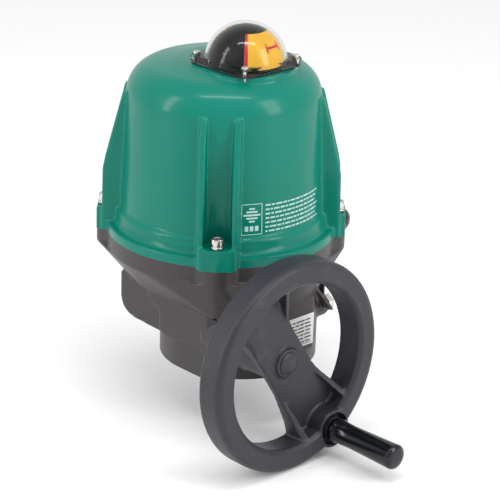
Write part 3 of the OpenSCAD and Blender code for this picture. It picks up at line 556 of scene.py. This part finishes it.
def buttresses(sizes):
    """At each corner two fins, and between them the pad that carries a cover screw."""
    core, reach, inner = 60 * MM, sizes.fin_reach, sizes.fin_gap / 2
    foot, knee, head = JOINT_Z - SUNK, JOINT_Z + 51 * MM, COVER_HIGH.z - 26 * MM
    side = [(core, foot), (reach + MM, foot), (reach, knee), (reach - 2 * MM, knee + 10 * MM),
            (sizes.wall_top + 1.5 * MM, head), (core, head)]
    parts = []
    for turn in CORNER_TURNS:
        fins = [prism("fin", side, low, low + sizes.fin, axis="Y")
                for low in (CASE_Y + inner, CASE_Y - inner - sizes.fin)]
        pad = block("pad", (core, CASE_Y - inner - sizes.fin / 2, foot),
                    (reach + 5 * MM, CASE_Y + inner + sizes.fin / 2, JOINT_Z + sizes.pad))
        parts.append(turned(joined("buttress", [*fins, pad]), turn, (0, CASE_Y, 0)))
    return parts


def cut_channels(cover, sizes):
    """Cuts an arched channel into the wall between each pair of fins."""
    foot = JOINT_Z + sizes.pad - MM
    channel = [(0, foot), (12.4 * MM, foot), (9.4 * MM, JOINT_Z + 95 * MM), (0, JOINT_Z + 104 * MM)]
    reach = (sizes.wall_foot + 8.2 * MM) * math.sqrt(0.5)
    for sx, sy in CORNERS:
        cut(cover, lathe("channel", channel, at=(sx * reach, CASE_Y + sy * reach), steps=64))


def cut_screw_holes(cover, sizes):
    """Cuts the holes of the cover screws and the flat seats of their washers."""
    hole_r, seat_r, head_r = 3.3 * MM, 6.3 * MM, 5 * MM
    seat = JOINT_Z + sizes.pad - 0.4 * MM
    low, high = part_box("cover_screws")
    screw = (high.x - low.x) / 2 - head_r
    for sx, sy in CORNERS:
        at = (sx * screw, CASE_Y + sy * screw)
        cut(cover, cylinder("screw_hole", hole_r, JOINT_Z - OVER, JOINT_Z + sizes.pad + OVER, at=at, sides=48),
            cylinder("washer_seat", seat_r, seat, JOINT_Z + sizes.pad + 9 * MM, at=at, sides=64))


def make_cover(sizes):
    """The domed cover with its buttresses, lip, screw pads and the seat of the sight dome."""
    foot, dome_seat = JOINT_Z - SUNK, COVER_HIGH.z - 0.6 * MM
    step = mm([(70, 0), (85, 0), (85, 7.5), (83.4, 11), (82.6, 19), (78, 21), (70, 21)])
    parts = [
        lathe("wall", wall_profile(sizes, 0, foot), at=(0, CASE_Y)),
        *buttresses(sizes),
        *flange_parts("lip", sizes, foot, JOINT_Z + sizes.lip),
        lathe("step", [(r, JOINT_Z + z) for r, z in step], at=(0, CASE_Y), ring=True),
        cylinder("seat", 38.3 * MM, COVER_HIGH.z - 8 * MM, COVER_HIGH.z),
    ]
    cover = cast("cover_shell", parts, sizes.casting_voxel, 6, Matrix.Rotation(CORNER_TURNS[0], 4, "Z"))
    cut_channels(cover, sizes)
    cut(cover, lathe("inside", wall_profile(sizes, sizes.cover_wall, foot - SUNK), at=(0, CASE_Y)))
    far = 120 * MM
    cut(cover, block("under", (-far, CASE_Y - far, JOINT_Z - 5 * SUNK), (far, CASE_Y + far, JOINT_Z)),
        block("above", (-far, CASE_Y - far, dome_seat), (far, CASE_Y + far, COVER_HIGH.z + far)))
    cut_screw_holes(cover, sizes)
    cut(cover, cylinder("shaft_hole", 9 * MM, COVER_HIGH.z - 12 * MM, COVER_HIGH.z + OVER, sides=64))
    show(cover, FINISHES["green_paint"], "casing", "green_paint", "cover")


# ---- Housing ----
def taper(sizes, low, waist):
    """The housing's sloping body, from the flange down to the boss and the gear box."""
    corner, thin = sizes.flange_half - sizes.flange_corner, 0.5 * MM
    skin = [cylinder("taper_disc", sizes.flange, low, low + MM, at=(0, CASE_Y)),
            cylinder("taper_boss", sizes.boss, waist, waist + thin)]
    for sx, sy in CORNERS:
        at = (sx * corner, CASE_Y + sy * corner)
        skin.append(cylinder("taper_corner", sizes.flange_corner, low, low + MM, at=at, sides=48))
    for x, y, r in ((-66, -43, 4.5), (-66, 36, 4.5), (-50, 63, 10), (-50, -55.5, 7), (20, 63, 10)):
        skin.append(cylinder("taper_post", r * MM, waist, waist + thin, at=(x * MM, y * MM), sides=32))
    return hull("taper", *skin)


def housing_outside(sizes):
    """Overlapping solids of the housing's outside."""
    low, high, waist = FLANGE_Z, JOINT_Z + SUNK, 58 * MM
    worm_side = mm([(-36, 60), (-36, 27.5), (-32, 25), (12, 24), (18, 26), (20.5, 30), (20.5, 44.5), (30, 46.5),
                    (38, 60)])
    nose_plan = mm([(-67.8, -35), (-50, -62.5), (-30, -62.5), (-30, -30), (-67.8, -30)])
    rear_side = mm([(18, 59), (18, 22), (56, 23.5), (64, 25.5), (70, 30), (73, 37), (73, 59)])
    parts = [
        *flange_parts("flange", sizes, low, high),
        taper(sizes, low, waist),
        cylinder("boss", sizes.boss, -SUNK, waist + MM, sides=128),
        prism("worm_block", worm_side, -67.8 * MM, -27.8 * MM, axis="X"),
        prism("worm_nose", nose_plan, 24 * MM, 59 * MM),
        prism("rear_box", rear_side, -61.7 * MM, 0.3 * MM, axis="X"),
        block("name_face", (-50 * MM, -62.5 * MM, 14 * MM), (22 * MM, 0, 59 * MM)),
        block("left_pad", (-62.5 * MM, -30 * MM, -SUNK), (0, 0, 30 * MM)),
        cylinder("collar", 16.5 * MM, -66 * MM, -30 * MM, at=(WORM_X, WORM_Z), axis="Y"),
        block("gland_pad", (60 * MM, -13 * MM, 68 * MM), (93 * MM, 51 * MM, high)),
    ]
    for y, z in STOPS:
        parts.append(cylinder("stop_boss", 8.5 * MM, 20 * MM, 51 * MM, at=(y, z), axis="X", sides=64))
    # Ribs that run from the stop bolt's boss to the flange and the name face
    for top_x, top_y in ((14, -58), (44, -48)):
        rib = mm([(top_x, 76), (top_x + 3, 76), (47, 40), (45, 38)])
        parts.append(prism("rib", rib, (top_y - 2) * MM, (top_y + 12) * MM, axis="Y"))
    return parts


def bowl():
    """The hollow above the gears, from the joint face down to the chamber."""
    floor, thin = 54 * MM, 0.1 * MM
    skin = [cylinder("mouth", 74 * MM, FLANGE_Z, JOINT_Z + OVER, at=(0, CASE_Y)),
            cylinder("floor_disc", 57 * MM, floor, floor + thin, sides=64)]
    for x, y in ((-61, -39), (-61, 34), (-48, 60), (20, 60)):
        skin.append(cylinder("floor_post", 4 * MM, floor, floor + thin, at=(x * MM, y * MM), sides=32))
    return hull("bowl", *skin)


def make_housing(sizes):
    """The cast gear housing with its bores and hollows."""
    housing = cast("housing_casting", housing_outside(sizes), sizes.casting_voxel, 5)
    far = 130 * MM
    cut(housing, block("over", (-far, -far, JOINT_Z), (far, far, JOINT_Z + far)),
        block("below", (-far, -far, -far), (far, far, 0)), bowl())
    # Along the output shaft: radius, low and high end of each bore
    for radius, low, high in ((49, 28, 60), (56.3, 50, 60), (27.5, -2, 3), (26.5, 2.9, 9.15), (25, 9, 29)):
        cut(housing, cylinder("output_bore", radius * MM, low * MM, high * MM))
    # Along the worm shaft, in the same order
    for radius, low, high in ((12, -22, 19.5), (12, -68, -30), (11.6, -35.5, -20), (9, 19, 35)):
        cut(housing, cylinder("worm_bore", radius * MM, low * MM, high * MM, at=(WORM_X, WORM_Z), axis="Y",
                              sides=64))
    cut(housing, block("gear_slot", (WORM_X - 11.6 * MM, -35.5 * MM, WORM_Z), (-20 * MM, -22 * MM, 74 * MM)),
        block("rear_hollow", (-57.7 * MM, 37 * MM, 30 * MM), (-10 * MM, 69 * MM, 59 * MM)))
    # The two bolt circles of the mounting face: circle radius, hole radius and depth
    for turn in CORNER_TURNS:
        for circle, radius, depth in ((51, 4.25, 18), (35, 3.4, 14)):
            at = (circle * MM * math.cos(turn), circle * MM * math.sin(turn))
            cut(housing, cylinder("bolt_hole", radius * MM, -OVER, depth * MM, at=at, sides=48))
    for y, z in STOPS:
        cut(housing, cylinder("stop_hole", 4.05 * MM, 5 * MM, 60 * MM, at=(y, z), axis="X", sides=48))
    low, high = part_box("gland_bodies")
    for y in (low.y + 12 * MM, high.y - 12 * MM):
        cut(housing, cylinder("gland_hole", 10.05 * MM, 60 * MM, 96 * MM, at=(y, 82.5 * MM), axis="X", sides=64))
    show(housing, FINISHES["cast_epoxy"], "casing", "cast_epoxy", "housing")


# ---- Handwheel ----
WHEEL_AT = (WORM_X, WORM_Z)
GRIP_AT = (GRIP_X, GRIP_Z)
ALONG = Vector((math.cos(GRIP_DIR), 0, math.sin(GRIP_DIR)))  # along the web, towards the handle
ACROSS = Vector((-math.sin(GRIP_DIR), 0, math.cos(GRIP_DIR)))
WHEEL_CENTRE = Vector((WORM_X, 0, WORM_Z))


def on_web(points):
    """Millimetres along and across the web, as places on the wheel's plane."""
    spots = [WHEEL_CENTRE + a * MM * ALONG + b * MM * ACROSS for a, b in points]
    return [(p.x, p.z) for p in spots]


def slope(rib, web_y, end, start, run, rise):
    """Slopes a rib's front edge up from the web, towards one end of the web."""
    for vertex in rib.data.vertices:
        if vertex.co.y < web_y:
            reach = (vertex.co - WHEEL_CENTRE).dot(ALONG) * end
            share = min(1.0, max(0.0, (reach - start * MM) / (run * MM)))
            vertex.co.y = web_y + MM - share * rise * MM
    return rib


def web_parts(front, web_y, back):
    """The flared web, a gusset along each of its four edges, and the ramp opposite the handle."""
    half = [(0, 19.5), (22, 19.8), (48, 23.5), (70, 30)]
    outline = half + [(a, -b) for a, b in reversed(half)] + [(-a, -b) for a, b in half[1:]]
    outline += [(-a, b) for a, b in reversed(half[1:])]
    gusset = [(25, 16.2), (62, 21.8), (67, 28.5), (25, 19.4)]
    ramp = [(-50, -19), (-50, 19), (-68, 24), (-68, -24)]
    rib_y = (front + 3 * MM, web_y + 3 * MM)
    parts = [prism("web", on_web(outline), web_y, back - MM, axis="Y")]
    for end in (-1, 1):
        for side in (-1, 1):
            rib = prism("gusset", on_web([(end * a, side * b) for a, b in gusset]), *rib_y, axis="Y")
            parts.append(slope(rib, web_y, end, start=25, run=37, rise=14.5))
    parts.append(slope(prism("ramp", on_web(ramp), *rib_y, axis="Y"), web_y, -1, start=50, run=18, rise=11))
    return parts


def make_handwheel(sizes):
    """The moulded wheel: round rim, flared web with four gussets, hub and handle boss."""
    front, back = WHEEL_LOW.y, WHEEL_LOW.y + 23.5 * MM
    web_y, hub_back = front + 15.5 * MM, WHEEL_HIGH.y
    hub_low = web_y - 1.5 * MM
    rim_r = (WHEEL_HIGH.x - WHEEL_LOW.x) / 2
    inner = rim_r - 18 * MM
    rim = [(inner + 1 * MM, back), (rim_r - 3 * MM, back), (rim_r, back - 3 * MM), (rim_r, front + 4.5 * MM),
           (rim_r - 1.3 * MM, front + 1.3 * MM), (rim_r - 4.5 * MM, front), (inner + 3 * MM, front),
           (inner, front + 3 * MM)]
    parts = [
        lathe("rim", rim, at=WHEEL_AT, axis="Y", ring=True, steps=160),
        *web_parts(front, web_y, back),
        cylinder("handle_boss", 15.6 * MM, front + 0.8 * MM, back, at=GRIP_AT, axis="Y"),
        cylinder("hub", 17 * MM, web_y, hub_back, at=WHEEL_AT, axis="Y"),
        cylinder("hub_face", 11.5 * MM, hub_low - 1.5 * MM, web_y + 2 * MM, at=WHEEL_AT, axis="Y"),
    ]
    wheel = cast("wheel_moulding", parts, sizes.wheel_voxel, 3, Matrix.Rotation(-GRIP_DIR, 4, "Y"))
    groove = [(9.6 * MM, front - OVER), (13.6 * MM, front - OVER), (12.8 * MM, front + 7 * MM),
              (9.6 * MM, front + 7 * MM)]
    cut(wheel, cylinder("shaft_bore", 6 * MM, hub_low + 4.5 * MM, hub_back + OVER, at=WHEEL_AT, axis="Y", sides=64),
        cylinder("spindle_bore", 4 * MM, front - OVER, front + 18 * MM, at=GRIP_AT, axis="Y", sides=48),
        lathe("boss_groove", groove, at=GRIP_AT, axis="Y", ring=True, steps=64))
    show(wheel, FINISHES["wheel_plastic"], "handwheel", "wheel_plastic", "handwheel")
    low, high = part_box("hub_cap")
    turns = [math.radians(7.5 * i) for i in range(13)]
    cap = [(0, high.y), *[(9.2 * MM * math.cos(t), high.y - (high.y - low.y) * math.sin(t)) for t in turns]]
    button = lathe("wheel_cap", cap, at=WHEEL_AT, axis="Y", steps=64)
    show(button, FINISHES["wheel_plastic"], "handwheel", "wheel_plastic", "hub_cap", smooth=50)


def make_handle():
    """The turning handle, with a collar, a faint waist and a crowned end."""
    low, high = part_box("handle_grip")
    base, end = high.y, low.y
    length, bore, wall = base - end, 4.05 * MM, 1.7 * MM
    r = (high.x - low.x) / 2 - 0.3 * MM
    profile = [(bore, base), (r - 1.2 * MM, base), (r - 0.3 * MM, base - 0.4 * MM), (r, base - 1.5 * MM),
               (r, base - 4 * MM), (r - 0.7 * MM, base - 5 * MM), (r - 0.9 * MM, base - 0.3 * length),
               (r - 0.5 * MM, base - 0.6 * length), (r + 0.1 * MM, end + 4 * MM), (r + 0.1 * MM, end + 2.6 * MM),
               (r - 0.5 * MM, end + 1.3 * MM), (r - 2.5 * MM, end + 0.3 * MM), (r - 5 * MM, end), (0, end),
               (0, end + wall), (bore, end + wall)]
    grip = lathe("handle", profile, at=GRIP_AT, axis="Y", ring=True, steps=96)
    show(grip, FINISHES["black_plastic"], "handle", "black_plastic", "handle_grip", smooth=40)


# ---- Sight dome and indicator ----
def make_dome(sizes):
    """The clear sight dome on its square bezel."""
    low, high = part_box("dome")
    half, outer = (high.x - low.x) / 2, high.z - low.z
    inner, screw = outer - sizes.dome_wall, half - 6 * MM
    plate = block("sight_dome", (-half, -half, low.z), (half, half, low.z + 5.5 * MM))
    round_corners(plate, 8.6 * MM, 12)
    modify(plate, "BEVEL", width=1.1 * MM, segments=3, limit_method="ANGLE", angle_limit=math.radians(50))
    ball = [(0, low.z + MM), *arc((0, low.z), outer, 2, 90, 32)]
    cut(plate, lathe("dome_ball", ball, steps=128), operation="UNION")
    hollow = [(0, low.z - OVER), (inner, low.z - OVER), *arc((0, low.z), inner, 0, 90, 32)]
    cut(plate, lathe("dome_hollow", hollow, steps=128))
    for sx, sy in CORNERS:
        at = (sx * screw, sy * screw)
        cut(plate, cylinder("dome_hole", 1.8 * MM, low.z - MM, low.z + 8 * MM, at=at, sides=32),
            cylinder("dome_spot", 3.4 * MM, low.z + 4.3 * MM, low.z + 8 * MM, at=at, sides=48))
    show(plate, FINISHES["clear_plastic"], "casing", "clear_plastic", "dome", smooth=40)


def ball_patch(name, centre_z, sunk, outer, left, right, bottom, top):
    """A thin piece of ball shell between two directions and two rises in degrees."""
    profile = arc((0, centre_z), outer, bottom, top, 24) + arc((0, centre_z), sunk, bottom, top, 24)[::-1]
    patch = lathe(name, profile, ring=True, steps=max(4, int((right - left) / 2.5)),
                  start=math.radians(left), angle=-math.radians(right - left))
    return close_ends(patch)


def make_indicator(sizes):
    """The ball that shows the position: black, with yellow signs and red stripes and bars."""
    dome_low, dome_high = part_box("dome")
    ball_low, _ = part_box("indicator_black")
    centre_z, stem = dome_low.z + 0.5 * MM, 7.5 * MM
    r = dome_high.z - dome_low.z - sizes.dome_wall - sizes.dome_gap
    ball = [(0, ball_low.z), (stem, ball_low.z), (stem, centre_z), (r, centre_z),
            *arc((0, centre_z), r, 3, 90, 29)]
    show(lathe("indicator_ball", ball, steps=128), FINISHES["ball"], "output", "black_plastic", "indicator_black")
    shell = r + 0.25 * MM
    bar, sunk = shell + 0.15 * MM, shell - 0.7 * MM
    # Each patch: its outer radius, its two sides from the yellow sign's edge, and its low and high rise
    signs = (("yellow_sign", "yellow_plastic", "indicator_yellow", [(shell, 0, 88, 3, 60)]),
             ("red_stripe", "red_plastic", "indicator_red",
              [(shell, -6, 0, 3, 60), (bar, 34, 66, 31, 35), (bar, 34, 37, 26, 40), (bar, 63, 66, 26, 40)]))
    for name, slot, node, patches in signs:
        pieces = [ball_patch(name, centre_z, sunk, outer, edge + left, edge + right, bottom, top)
                  for outer, left, right, bottom, top in patches for edge in YELLOW_EDGES]
        show(joined(name, pieces), FINISHES[slot], "output", slot, node)


def close_ends(obj):
    """Fills the open ends of a part-turned solid and turns its faces outwards."""
    pick(obj)
    bpy.ops.object.mode_set(mode="EDIT")
    bpy.ops.mesh.select_mode(type="EDGE")
    bpy.ops.mesh.select_all(action="DESELECT")
    bpy.ops.mesh.select_non_manifold()
    bpy.ops.mesh.edge_face_add()
    bpy.ops.mesh.select_mode(type="VERT")
    bpy.ops.object.mode_set(mode="OBJECT")
    mesh_step(obj, bpy.ops.mesh.normals_make_consistent, inside=False)
    return obj


# ---- Prints ----
SIGN_Z = (119 * MM, 143.5 * MM)  # low and high edge of the printed sign
SIGN_TURN = (-122.5, -110.5)  # left and right edge, in degrees round the casing


def wall_radius(sizes, z):
    """Radius of the cover's wall at a height."""
    top_z = COVER_HIGH.z - sizes.crown - sizes.shoulder
    share = min(1.0, max(0.0, (z - TAPER_Z) / (top_z - TAPER_Z)))
    return sizes.wall_foot + (sizes.wall_top - sizes.wall_foot) * share


def wall_mark(sizes, z0, z1, start, end):
    """A thin printed bar on the cover's wall, between two heights and two directions in degrees."""
    proud, sunk = 0.14 * MM, 0.30 * MM
    r0, r1 = wall_radius(sizes, z0), wall_radius(sizes, z1)
    profile = [(r0 - sunk, z0), (r0 + proud, z0), (r1 + proud, z1), (r1 - sunk, z1)]
    mark = lathe("mark", profile, at=(0, CASE_Y), ring=True, steps=max(1, round(abs(end - start) / 3)),
                 start=math.radians(start), angle=math.radians(start - end))
    return close_ends(mark)


def sign_marks(sizes):
    """A frame with a stepped diamond and three squares in it."""
    (low, high), (left, right) = SIGN_Z, SIGN_TURN
    line, thin, middle = 0.5 * MM, 0.4, (left + right) / 2
    marks = [wall_mark(sizes, low, low + line, left, right), wall_mark(sizes, high - line, high, left, right),
             wall_mark(sizes, low, high, left, left + thin), wall_mark(sizes, low, high, right - thin, right)]
    for z, width in ((139, 1.6), (136.5, 3.2), (134, 4.8), (131.5, 3.2), (129, 1.6)):
        marks.append(wall_mark(sizes, z * MM, (z + 1.4) * MM, middle - width, middle + width))
    for start in (-120.5, -117.6, -114.7):
        marks.append(wall_mark(sizes, 122 * MM, 126 * MM, start, start + 2.0))
    return marks


def line_marks(sizes):
    """Seven rows of dashes to the right of the sign."""
    lengths = [3.1, 1.9, 4.2, 2.4, 1.3, 3.6, 2.8, 1.6, 4.6, 2.2, 3.0, 1.7, 2.6, 3.3]
    pitch, tall, space = 3.45 * MM, 1.15 * MM, 0.75
    marks = []
    for row in range(7):
        z = SIGN_Z[1] - 1.4 * MM - row * pitch
        angle, stop = SIGN_TURN[1] + 2.0, -66.0 - (row % 3) * 1.5
        index = row * 3
        while angle < stop:
            length = min(lengths[index % len(lengths)], stop - angle)
            marks.append(wall_mark(sizes, z - tall, z, angle, angle + length))
            angle += length + space
            index += 1
    return marks


def plate_marks():
    """Rows of dark dashes over a rule, on the nameplate."""
    low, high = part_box("nameplate")
    front, back = low.y - 0.1 * MM, low.y + 0.2 * MM
    margin, space, half = 2.5 * MM, 1.2 * MM, 0.55 * MM
    marks = []
    for row, z in enumerate(range(23, 44, 3)):
        x = low.x + margin
        for length in ((7, 3, 9, 5), (4, 8, 6, 7), (10, 4, 4, 6))[row % 3]:
            far = min(x + length * MM, high.x - margin)
            if far > x:
                marks.append(block("row", (x, front, z * MM - half), (far, back, z * MM + half)))
            x = far + space
    marks.append(block("rule", (low.x + 2 * MM, front, 21 * MM), (high.x - 2 * MM, back, 21.4 * MM)))
    return marks


def make_prints(sizes):
    """Plain printed bars on the cover and the nameplate."""
    cover_marks = [*sign_marks(sizes), *line_marks(sizes)]
    show(joined("cover_print", cover_marks), FINISHES["print"], "casing", "label", smooth=30)
    show(joined("nameplate_print", plate_marks()), FINISHES["ink"], "casing", "black_plastic", smooth=30)


# ---- Small parts ----
SMALL = {
    "cover_screws": 0.35, "cover_washers": 0.2, "dome_screws": 0.2, "end_stop_bolts": 0.5,
    "gland_nuts": 0.5, "gland_bodies": 0.4, "nameplate": 0.15, "gear_cover": 0.5,
    "capacitor": 0.8, "gear_head": 0.6, "motor_can": 0.8, "terminal_block": 0.25,
    "limit_switches": 0.3, "gear_frame": 0.25, "switch_bracket": 0.25, "board_parts": 0.4,
}


def make_small_parts():
    """Copies of the machined and moulded nodes with their edges broken."""
    for node, edge in SMALL.items():
        piece = eased(node, node + "_detail", edge * MM)
        show(piece, FINISHES[SLOT_OF[node]], BODY_OF[node], SLOT_OF[node], node)


def finish_nodes():
    """Every node that stays shown gets its own finish."""
    for name, node in NODES.items():
        if node.hide_render:
            continue
        node.data.materials.clear()
        node.data.materials.append(FINISHES[SLOT_OF[name]])
        for polygon in node.data.polygons:
            polygon.material_index = 0


# ---- Studio ----
def softbox(name, place, target, size, power):
    """A soft rectangular light that faces the target."""
    light = bpy.data.lights.new(name, "AREA")
    light.shape = "RECTANGLE"
    light.size, light.size_y = size
    light.energy = power
    obj = bpy.data.objects.new(name, light)
    bpy.context.scene.collection.objects.link(obj)
    obj.location = place
    obj.rotation_euler = (Vector(target) - Vector(place)).to_track_quat("-Z", "Y").to_euler()


def make_studio(own):
    """Pale floor, pale surroundings, softboxes and the camera."""
    deselect()
    low = CAD_BOX[0].z - 0.5 * MM
    bpy.ops.mesh.primitive_plane_add(size=12, location=(0, 0, low))
    floor = settle("studio_floor")
    floor.data.materials.append(finish("Studio paper", own.floor, 0.85, tone=0.02, depth=0.00002))
    world = bpy.data.worlds.new("Studio")
    bpy.context.scene.world = world
    world.use_nodes = True
    background = world.node_tree.nodes["Background"]
    background.inputs["Color"].default_value = (1, 1, 1, 1)
    background.inputs["Strength"].default_value = 0.86
    bpy.context.scene.view_settings.view_transform = "Standard"
    azimuth, elevation, roll = math.radians(-44.36), math.radians(21.35), math.radians(1.76)
    distance, lens = 1.6627, 151.86
    back = Vector((math.sin(azimuth) * math.cos(elevation), -math.cos(azimuth) * math.cos(elevation),
                   math.sin(elevation)))
    right = Vector((math.cos(azimuth), math.sin(azimuth), 0))
    up = back.cross(right)
    side = math.cos(roll) * right + math.sin(roll) * up
    over = -math.sin(roll) * right + math.cos(roll) * up
    aim = Vector((5.14, -5.58, 83.67)) * MM
    camera = bpy.data.cameras.new("Studio camera")
    camera.sensor_width, camera.lens = 36, lens
    camera.clip_start, camera.clip_end = 0.05, 40
    obj = bpy.data.objects.new("Studio camera", camera)
    bpy.context.scene.collection.objects.link(obj)
    axes = Matrix((side, over, back)).transposed().to_4x4()
    obj.matrix_world = Matrix.Translation(aim + back * distance) @ axes
    bpy.context.scene.camera = obj
    raised = Vector((0, 0, 1))
    softbox("Left softbox", aim - right * 1.0 + back * 0.45 + raised * 0.30, aim, (0.18, 1.0), 4.5)
    softbox("Right softbox", aim + right * 0.95 + back * 0.60 + raised * 0.30, aim, (0.36, 1.0), 7)
    softbox("Top softbox", aim + back * 0.55 + raised * 1.35, aim, (1.2, 0.15), 9)


# ---- Operators, panel and registration ----
class ACTUATOR_OT_finishes(Operator):
    """Make every finish of the actuator"""

    bl_idname = "actuator.finishes"
    bl_label = "Finishes"

    def execute(self, context):
        make_finishes(context.scene.actuator_colours)
        return {"FINISHED"}


class ACTUATOR_OT_cover(Operator):
    """Model the cover with its buttresses"""

    bl_idname = "actuator.cover"
    bl_label = "Cover"

    def execute(self, context):
        make_cover(context.scene.actuator_sizes)
        return {"FINISHED"}


class ACTUATOR_OT_housing(Operator):
    """Model the cast gear housing"""

    bl_idname = "actuator.housing"
    bl_label = "Housing"

    def execute(self, context):
        make_housing(context.scene.actuator_sizes)
        return {"FINISHED"}


class ACTUATOR_OT_handwheel(Operator):
    """Model the handwheel and its cap"""

    bl_idname = "actuator.handwheel"
    bl_label = "Handwheel"

    def execute(self, context):
        make_handwheel(context.scene.actuator_sizes)
        return {"FINISHED"}


class ACTUATOR_OT_handle(Operator):
    """Model the turning handle"""

    bl_idname = "actuator.handle"
    bl_label = "Handle"

    def execute(self, context):
        make_handle()
        return {"FINISHED"}


class ACTUATOR_OT_dome(Operator):
    """Model the clear sight dome"""

    bl_idname = "actuator.dome"
    bl_label = "Sight dome"

    def execute(self, context):
        make_dome(context.scene.actuator_sizes)
        return {"FINISHED"}


class ACTUATOR_OT_indicator(Operator):
    """Model the ball that shows the position"""

    bl_idname = "actuator.indicator"
    bl_label = "Indicator"

    def execute(self, context):
        make_indicator(context.scene.actuator_sizes)
        return {"FINISHED"}


class ACTUATOR_OT_prints(Operator):
    """Model the printed bars"""

    bl_idname = "actuator.prints"
    bl_label = "Prints"

    def execute(self, context):
        make_prints(context.scene.actuator_sizes)
        return {"FINISHED"}


class ACTUATOR_OT_small_parts(Operator):
    """Break the edges of the screws, glands and small parts"""

    bl_idname = "actuator.small_parts"
    bl_label = "Small parts"

    def execute(self, context):
        make_small_parts()
        return {"FINISHED"}


class ACTUATOR_OT_nodes(Operator):
    """Finish the parts that stay as they are"""

    bl_idname = "actuator.nodes"
    bl_label = "Inner parts"

    def execute(self, context):
        finish_nodes()
        return {"FINISHED"}


class ACTUATOR_OT_studio(Operator):
    """Set up the floor, the lights and the camera"""

    bl_idname = "actuator.studio"
    bl_label = "Studio"

    def execute(self, context):
        make_studio(context.scene.actuator_colours)
        return {"FINISHED"}


OPERATORS = [
    ACTUATOR_OT_finishes, ACTUATOR_OT_cover, ACTUATOR_OT_housing, ACTUATOR_OT_handwheel, ACTUATOR_OT_handle,
    ACTUATOR_OT_dome, ACTUATOR_OT_indicator, ACTUATOR_OT_prints, ACTUATOR_OT_small_parts, ACTUATOR_OT_nodes,
    ACTUATOR_OT_studio,
]


class ACTUATOR_PT_panel(Panel):
    """Sidebar panel of the actuator"""

    bl_label = "Valve actuator"
    bl_idname = "ACTUATOR_PT_panel"
    bl_space_type = "VIEW_3D"
    bl_region_type = "UI"
    bl_category = "Actuator"

    def draw(self, context):
        for operator in OPERATORS:
            self.layout.operator(operator.bl_idname)
        for group in (context.scene.actuator_sizes, context.scene.actuator_colours):
            for key in group.__annotations__:
                self.layout.prop(group, key)


CLASSES = [ActuatorSizes, ActuatorColours, *OPERATORS, ACTUATOR_PT_panel]


def register():
    """Registers every class and hangs the sizes and colours on the scene."""
    for cls in CLASSES:
        bpy.utils.register_class(cls)
    bpy.types.Scene.actuator_sizes = PointerProperty(type=ActuatorSizes)
    bpy.types.Scene.actuator_colours = PointerProperty(type=ActuatorColours)


def unregister():
    """Takes back what register did."""
    del bpy.types.Scene.actuator_colours
    del bpy.types.Scene.actuator_sizes
    for cls in reversed(CLASSES):
        bpy.utils.unregister_class(cls)


def main():
    """Builds every piece in order."""
    register()
    bpy.ops.actuator.finishes()
    bpy.ops.actuator.cover()
    bpy.ops.actuator.housing()
    bpy.ops.actuator.handwheel()
    bpy.ops.actuator.handle()
    bpy.ops.actuator.dome()
    bpy.ops.actuator.indicator()
    bpy.ops.actuator.prints()
    bpy.ops.actuator.small_parts()
    bpy.ops.actuator.nodes()
    bpy.ops.actuator.studio()


if __name__ == "__main__":
    main()
